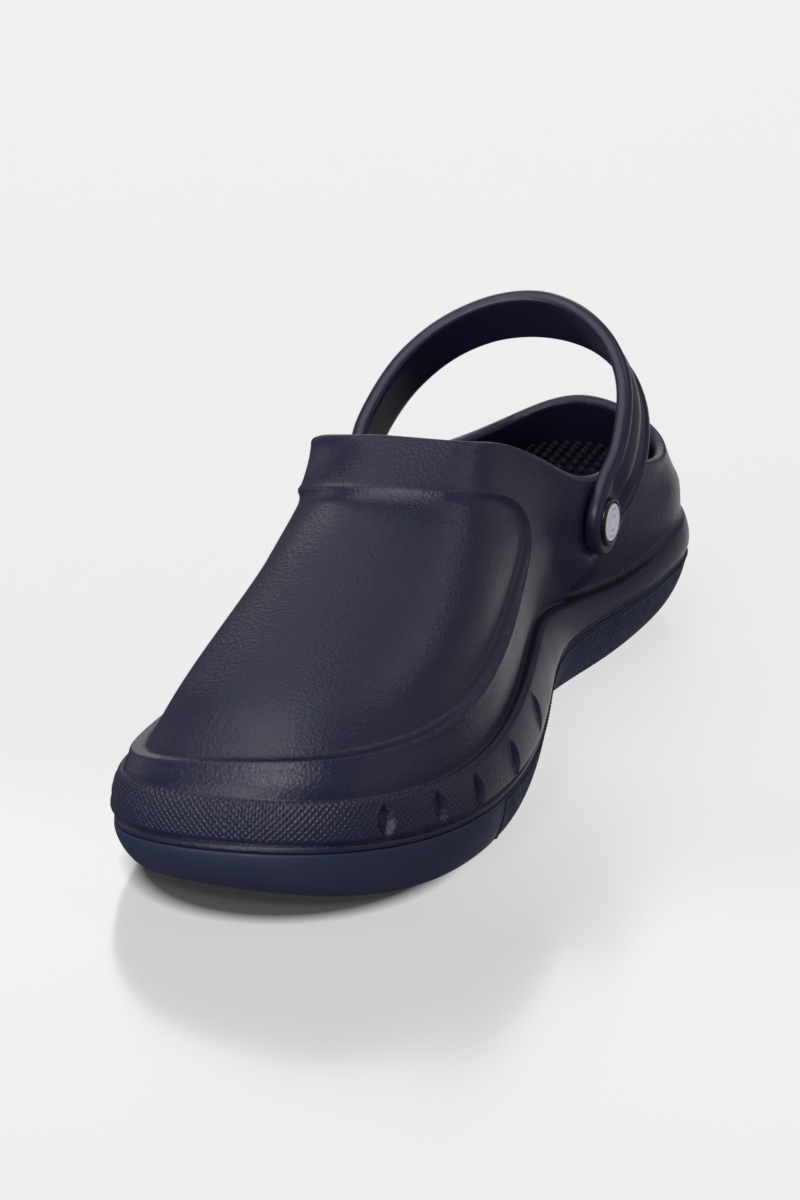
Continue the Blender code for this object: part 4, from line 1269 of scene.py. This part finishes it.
class CLOG_OT_rivets(Operator):
    """Turn the two rivets with their badges and inside caps"""
    bl_idname = "clog.rivets"
    bl_label = "Rivets"

    def execute(self, context):
        steps = context.scene.clog_sizes.turned_steps
        colours = context.scene.clog_colours
        black = finish_named("black_abs", lambda: moulded_abs("black_abs", tuple(colours.plastic), 0.28, 0.2))
        pale = finish_named("pale_abs", lambda: moulded_abs("pale_abs", tuple(colours.badge), 0.4, 0.0))
        pivot = pivot_point()
        for side_name, side in (("arch", 1.0), ("outer", -1.0)):
            low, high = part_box("rivet_" + side_name)
            ends = sorted(abs(end - pivot[0]) for end in (low[0], high[0]))
            inner_end, face = ends
            head = (high[2] - low[2]) / 2 - 0.0004
            face -= 0.0009
            cap_low, cap_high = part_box("rivet_cap_" + side_name)
            cap_ends = sorted(abs(end - pivot[0]) for end in (cap_low[0], cap_high[0]))
            badge_low, badge_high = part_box("rivet_badge_" + side_name)
            badge = (badge_high[2] - badge_low[2]) / 2
            shank = 0.0026
            under = face - 0.0014
            recess = badge + 0.0003
            floor = face - 0.0009
            profile = [(inner_end, shank * 0.5), (inner_end, shank * 0.8), (inner_end + 0.0004, shank)]
            profile += [(under, shank), (under, head - 0.0005)]
            profile += rounded(under + 0.0004, head - 0.0004, 0.0004, 180.0, 90.0)
            profile += rounded(face - 0.0008, head - 0.0008, 0.0008, 90.0, 0.0, 7)
            profile += rounded(face - 0.0004, recess + 0.0004, 0.0004, 0.0, -90.0)
            profile += [(floor, recess), (floor, recess * 0.5)]
            add_piece("rivet_head_" + side_name, turned_mesh("rivet_head", profile, side, steps), black,
                      "clog",
                      "rivet_plastic", "rivet_" + side_name)
            seat = floor + 0.0003
            top = face + 0.0002
            inlay = [(seat, badge * 0.5), (seat, badge - 0.0002), (seat + 0.0002, badge)]
            inlay += rounded(top - 0.0004, badge - 0.0004, 0.0004, 90.0, 0.0)
            for outer_groove, inner_groove in ((0.80, 0.70), (0.48, 0.38)):
                inlay += [(top, badge * outer_groove), (top - 0.0004, badge * (outer_groove - 0.02)),
                          (top - 0.0004, badge * (inner_groove + 0.02)), (top, badge * inner_groove)]
            inlay += [(top + 0.0001, badge * 0.2)]
            add_piece("rivet_inlay_" + side_name, turned_mesh("rivet_inlay", inlay, side, steps), pale,
                      "clog",
                      "badge_plastic", "rivet_badge_" + side_name)
            cap_end, cap_seat = cap_ends
            cap = (cap_high[2] - cap_low[2]) / 2
            bore = shank + 0.0003
            dome = [(cap_end, cap * 0.25), (cap_end + 0.0001, cap * 0.5), (cap_end + 0.0004, cap * 0.75)]
            dome += rounded(cap_end + 0.0016, cap - 0.0009, 0.0009, 180.0, 90.0)
            dome += rounded(cap_seat - 0.0004, cap - 0.0004, 0.0004, 90.0, 0.0)
            dome += [(cap_seat, bore), (cap_end + 0.0012, bore), (cap_end + 0.0012, bore * 0.5)]
            add_piece("rivet_button_" + side_name, turned_mesh("rivet_button", dome, side, steps), black,
                      "clog",
                      "rivet_plastic", "rivet_cap_" + side_name)
        return {"FINISHED"}


# ---------------------------------------------------------------- stage

FLOOR_LEVEL = -0.0001        # a hair under the tread, so the two never share a plane
CAMERA_AZIMUTH = 21.63
CAMERA_ELEVATION = 18.64
# Soft studio lights: name, direction it comes from, strength, spread in degrees
STUDIO_LIGHTS = (
    ("over", (-0.35, -0.05, 0.94), 0.78, 40.0),
    ("over_front", (0.00, -0.67, 0.74), 1.35, 25.0),
    ("back_right", (0.33, 0.50, 0.80), 0.25, 18.0),
    ("left_strip", (-0.95, 0.20, 0.15), 0.15, 25.0),
    ("low_front", (-0.22, -0.97, 0.05), 1.25, 35.0),
    ("side", (0.90, 0.10, 0.26), 0.25, 50.0),
    ("back_low", (0.48, 0.87, 0.03), 0.07, 32.0),
    ("under_back", (-0.05, 0.94, -0.31), 0.20, 30.0),
)


def studio_floor():
    """Frosted acrylic table lit from below: polished and glowing less in front, matt behind, with a painted shadow
    under the toe where its glow is dimmed.
    """
    colour = tuple(bpy.context.scene.clog_colours.floor)
    finish, tree, surface = new_finish("frosted_acrylic", colour, 0.16)
    place = add_node(tree, "ShaderNodeTexCoord").outputs["Object"]
    along = add_node(tree, "ShaderNodeSeparateXYZ", None, {"Vector": place})
    polish = add_node(tree, "ShaderNodeMapRange", {"From Min": -0.13, "From Max": 0.0, "To Min": 0.16,
                                                   "To Max": 0.6},
                      {"Value": along.outputs["Y"]})
    tree.links.new(polish.outputs["Result"], surface.inputs["Roughness"])
    glow = add_node(tree, "ShaderNodeMapRange", {"From Min": -0.13, "From Max": 0.0, "To Min": 0.54,
                                                 "To Max": 0.69},
                    {"Value": along.outputs["Y"]})
    # Painted contact shadow: the table's glow is dimmed in an oval round the toe, standing in for the shade under
    # the tread.
    middle = (CAD_BOX[0] + CAD_BOX[1]) / 2
    toe = (middle[0], CAD_BOX[0][1] + 0.048, 0.0)
    from_toe = add_node(tree, "ShaderNodeVectorMath", {"operation": "SUBTRACT", 1: toe}, {0: place})
    scaled = add_node(tree, "ShaderNodeVectorMath", {"operation": "MULTIPLY", 1: (1 / 0.043, 1 / 0.050, 0.0)},
                      {0: from_toe.outputs["Vector"]})
    away = add_node(tree, "ShaderNodeVectorMath", {"operation": "LENGTH"}, {0: scaled.outputs["Vector"]})
    painted_toe_shadow = add_node(tree, "ShaderNodeMapRange", {"From Min": 0.90, "From Max": 1.05, "To Min": 0.05,
                                                    "To Max": 1.0},
                       {"Value": away.outputs["Value"]})
    strength = add_node(tree, "ShaderNodeMath", {"operation": "MULTIPLY"},
                        {0: glow.outputs["Result"], 1: painted_toe_shadow.outputs["Result"]})
    surface.inputs["Emission Color"].default_value = (1.0, 1.0, 1.0, 1.0)
    tree.links.new(strength.outputs[0], surface.inputs["Emission Strength"])
    return finish


def lit_backdrop():
    """White seamless paper behind the table, drawn as a glowing sheet whose painted light is brighter higher up,
    which the floor mirrors.
    """
    finish, tree, surface = new_finish("lit_paper", (0.8, 0.8, 0.8), 0.9)
    surface.inputs["Emission Color"].default_value = (1.0, 1.0, 1.0, 1.0)
    place = add_node(tree, "ShaderNodeTexCoord").outputs["Object"]
    height = add_node(tree, "ShaderNodeSeparateXYZ", None, {"Vector": place})
    # Painted light: the paper's glow grows with height, as if lamps lit its upper part more.
    glow = add_node(tree, "ShaderNodeMapRange", {"From Min": 0.8, "From Max": 1.8, "To Min": 0.5,
                                                 "To Max": 1.3},
                    {"Value": height.outputs["Z"]})
    tree.links.new(glow.outputs["Result"], surface.inputs["Emission Strength"])
    return finish


def stage_sheet(name, corners, finish):
    """A flat four-cornered sheet of the stage."""
    mesh = bpy.data.meshes.new(name)
    mesh.from_pydata(corners, [], [(0, 1, 2, 3)])
    mesh.materials.append(finish)
    sheet = bpy.data.objects.new(name, mesh)
    bpy.context.scene.collection.objects.link(sheet)
    return sheet


class CLOG_OT_stage(Operator):
    """Set the camera, the pale floor and the soft studio light"""
    bl_idname = "clog.stage"
    bl_label = "Studio stage"

    def execute(self, context):
        scene = context.scene
        middle = drawn_origin()
        target = np.array([middle[0], middle[1], 0.050])
        azimuth, elevation = math.radians(CAMERA_AZIMUTH), math.radians(CAMERA_ELEVATION)
        back = np.array([math.sin(azimuth) * math.cos(elevation), -math.cos(azimuth) * math.cos(elevation),
                         math.sin(elevation)])
        camera_data = bpy.data.cameras.new("camera")
        camera_data.lens = 185.8
        camera_data.sensor_width = 36.0
        camera_data.shift_x = -0.0084
        camera_data.shift_y = -0.0321
        camera_data.clip_start = 0.05
        camera = bpy.data.objects.new("camera", camera_data)
        camera.location = tuple(target + back * 1.691)
        camera.rotation_euler = (math.pi / 2 - elevation, 0.0, azimuth)
        scene.collection.objects.link(camera)
        scene.camera = camera

        side = 4.0
        floor = stage_sheet("floor", [(-side, -side, FLOOR_LEVEL), (side, -side, FLOOR_LEVEL),
                                      (side, side, FLOOR_LEVEL), (-side, side, FLOOR_LEVEL)], studio_floor())
        backdrop = stage_sheet("backdrop", [(-2.8, 3.0, 0.5), (-0.4, 3.9, 0.5), (-0.4, 3.9, 2.3),
                                            (-2.8, 3.0, 2.3)],
                               lit_backdrop())
        floor.visible_glossy = False         # the foam would mirror the pale table along its edges
        floor.visible_shadow = False         # lets the low light through the table

        world = bpy.data.worlds.new("studio")
        world.use_nodes = True
        glow = world.node_tree.nodes["Background"]
        glow.inputs["Color"].default_value = (1.0, 1.0, 1.0, 1.0)
        glow.inputs["Strength"].default_value = 0.08
        scene.world = world

        for name, place, strength, spread in STUDIO_LIGHTS:
            lamp = bpy.data.lights.new(name, "SUN")
            lamp.energy = strength
            lamp.angle = math.radians(spread)
            light = bpy.data.objects.new(name, lamp)
            light.rotation_euler = Vector(place).to_track_quat("Z", "Y").to_euler()
            scene.collection.objects.link(light)
        scene.view_settings.view_transform = "Standard"
        return {"FINISHED"}


class CLOG_PT_panel(Panel):
    """The clog's pieces, in the order they are made"""
    bl_idname = "CLOG_PT_panel"
    bl_label = "Garden clog"
    bl_space_type = "VIEW_3D"
    bl_region_type = "UI"
    bl_category = "Clog"

    def draw(self, context):
        for operator in OPERATORS:
            self.layout.operator(operator.bl_idname)
        for group in (context.scene.clog_sizes, context.scene.clog_colours):
            for name in group.bl_rna.properties.keys():
                if name not in ("rna_type", "name"):
                    self.layout.prop(group, name)


OPERATORS = (CLOG_OT_shell, CLOG_OT_outsole, CLOG_OT_insole, CLOG_OT_strap, CLOG_OT_rivets, CLOG_OT_stage)
CLASSES = (ClogSizes, ClogColours) + OPERATORS + (CLOG_PT_panel,)


def register():
    for item in CLASSES:
        bpy.utils.register_class(item)
    bpy.types.Scene.clog_sizes = PointerProperty(type=ClogSizes)
    bpy.types.Scene.clog_colours = PointerProperty(type=ClogColours)


def unregister():
    del bpy.types.Scene.clog_colours
    del bpy.types.Scene.clog_sizes
    for item in reversed(CLASSES):
        bpy.utils.unregister_class(item)


def main():
    register()
    for operator in OPERATORS:
        group, name = operator.bl_idname.split(".")
        getattr(getattr(bpy.ops, group), name)()


if __name__ == "__main__":
    main()
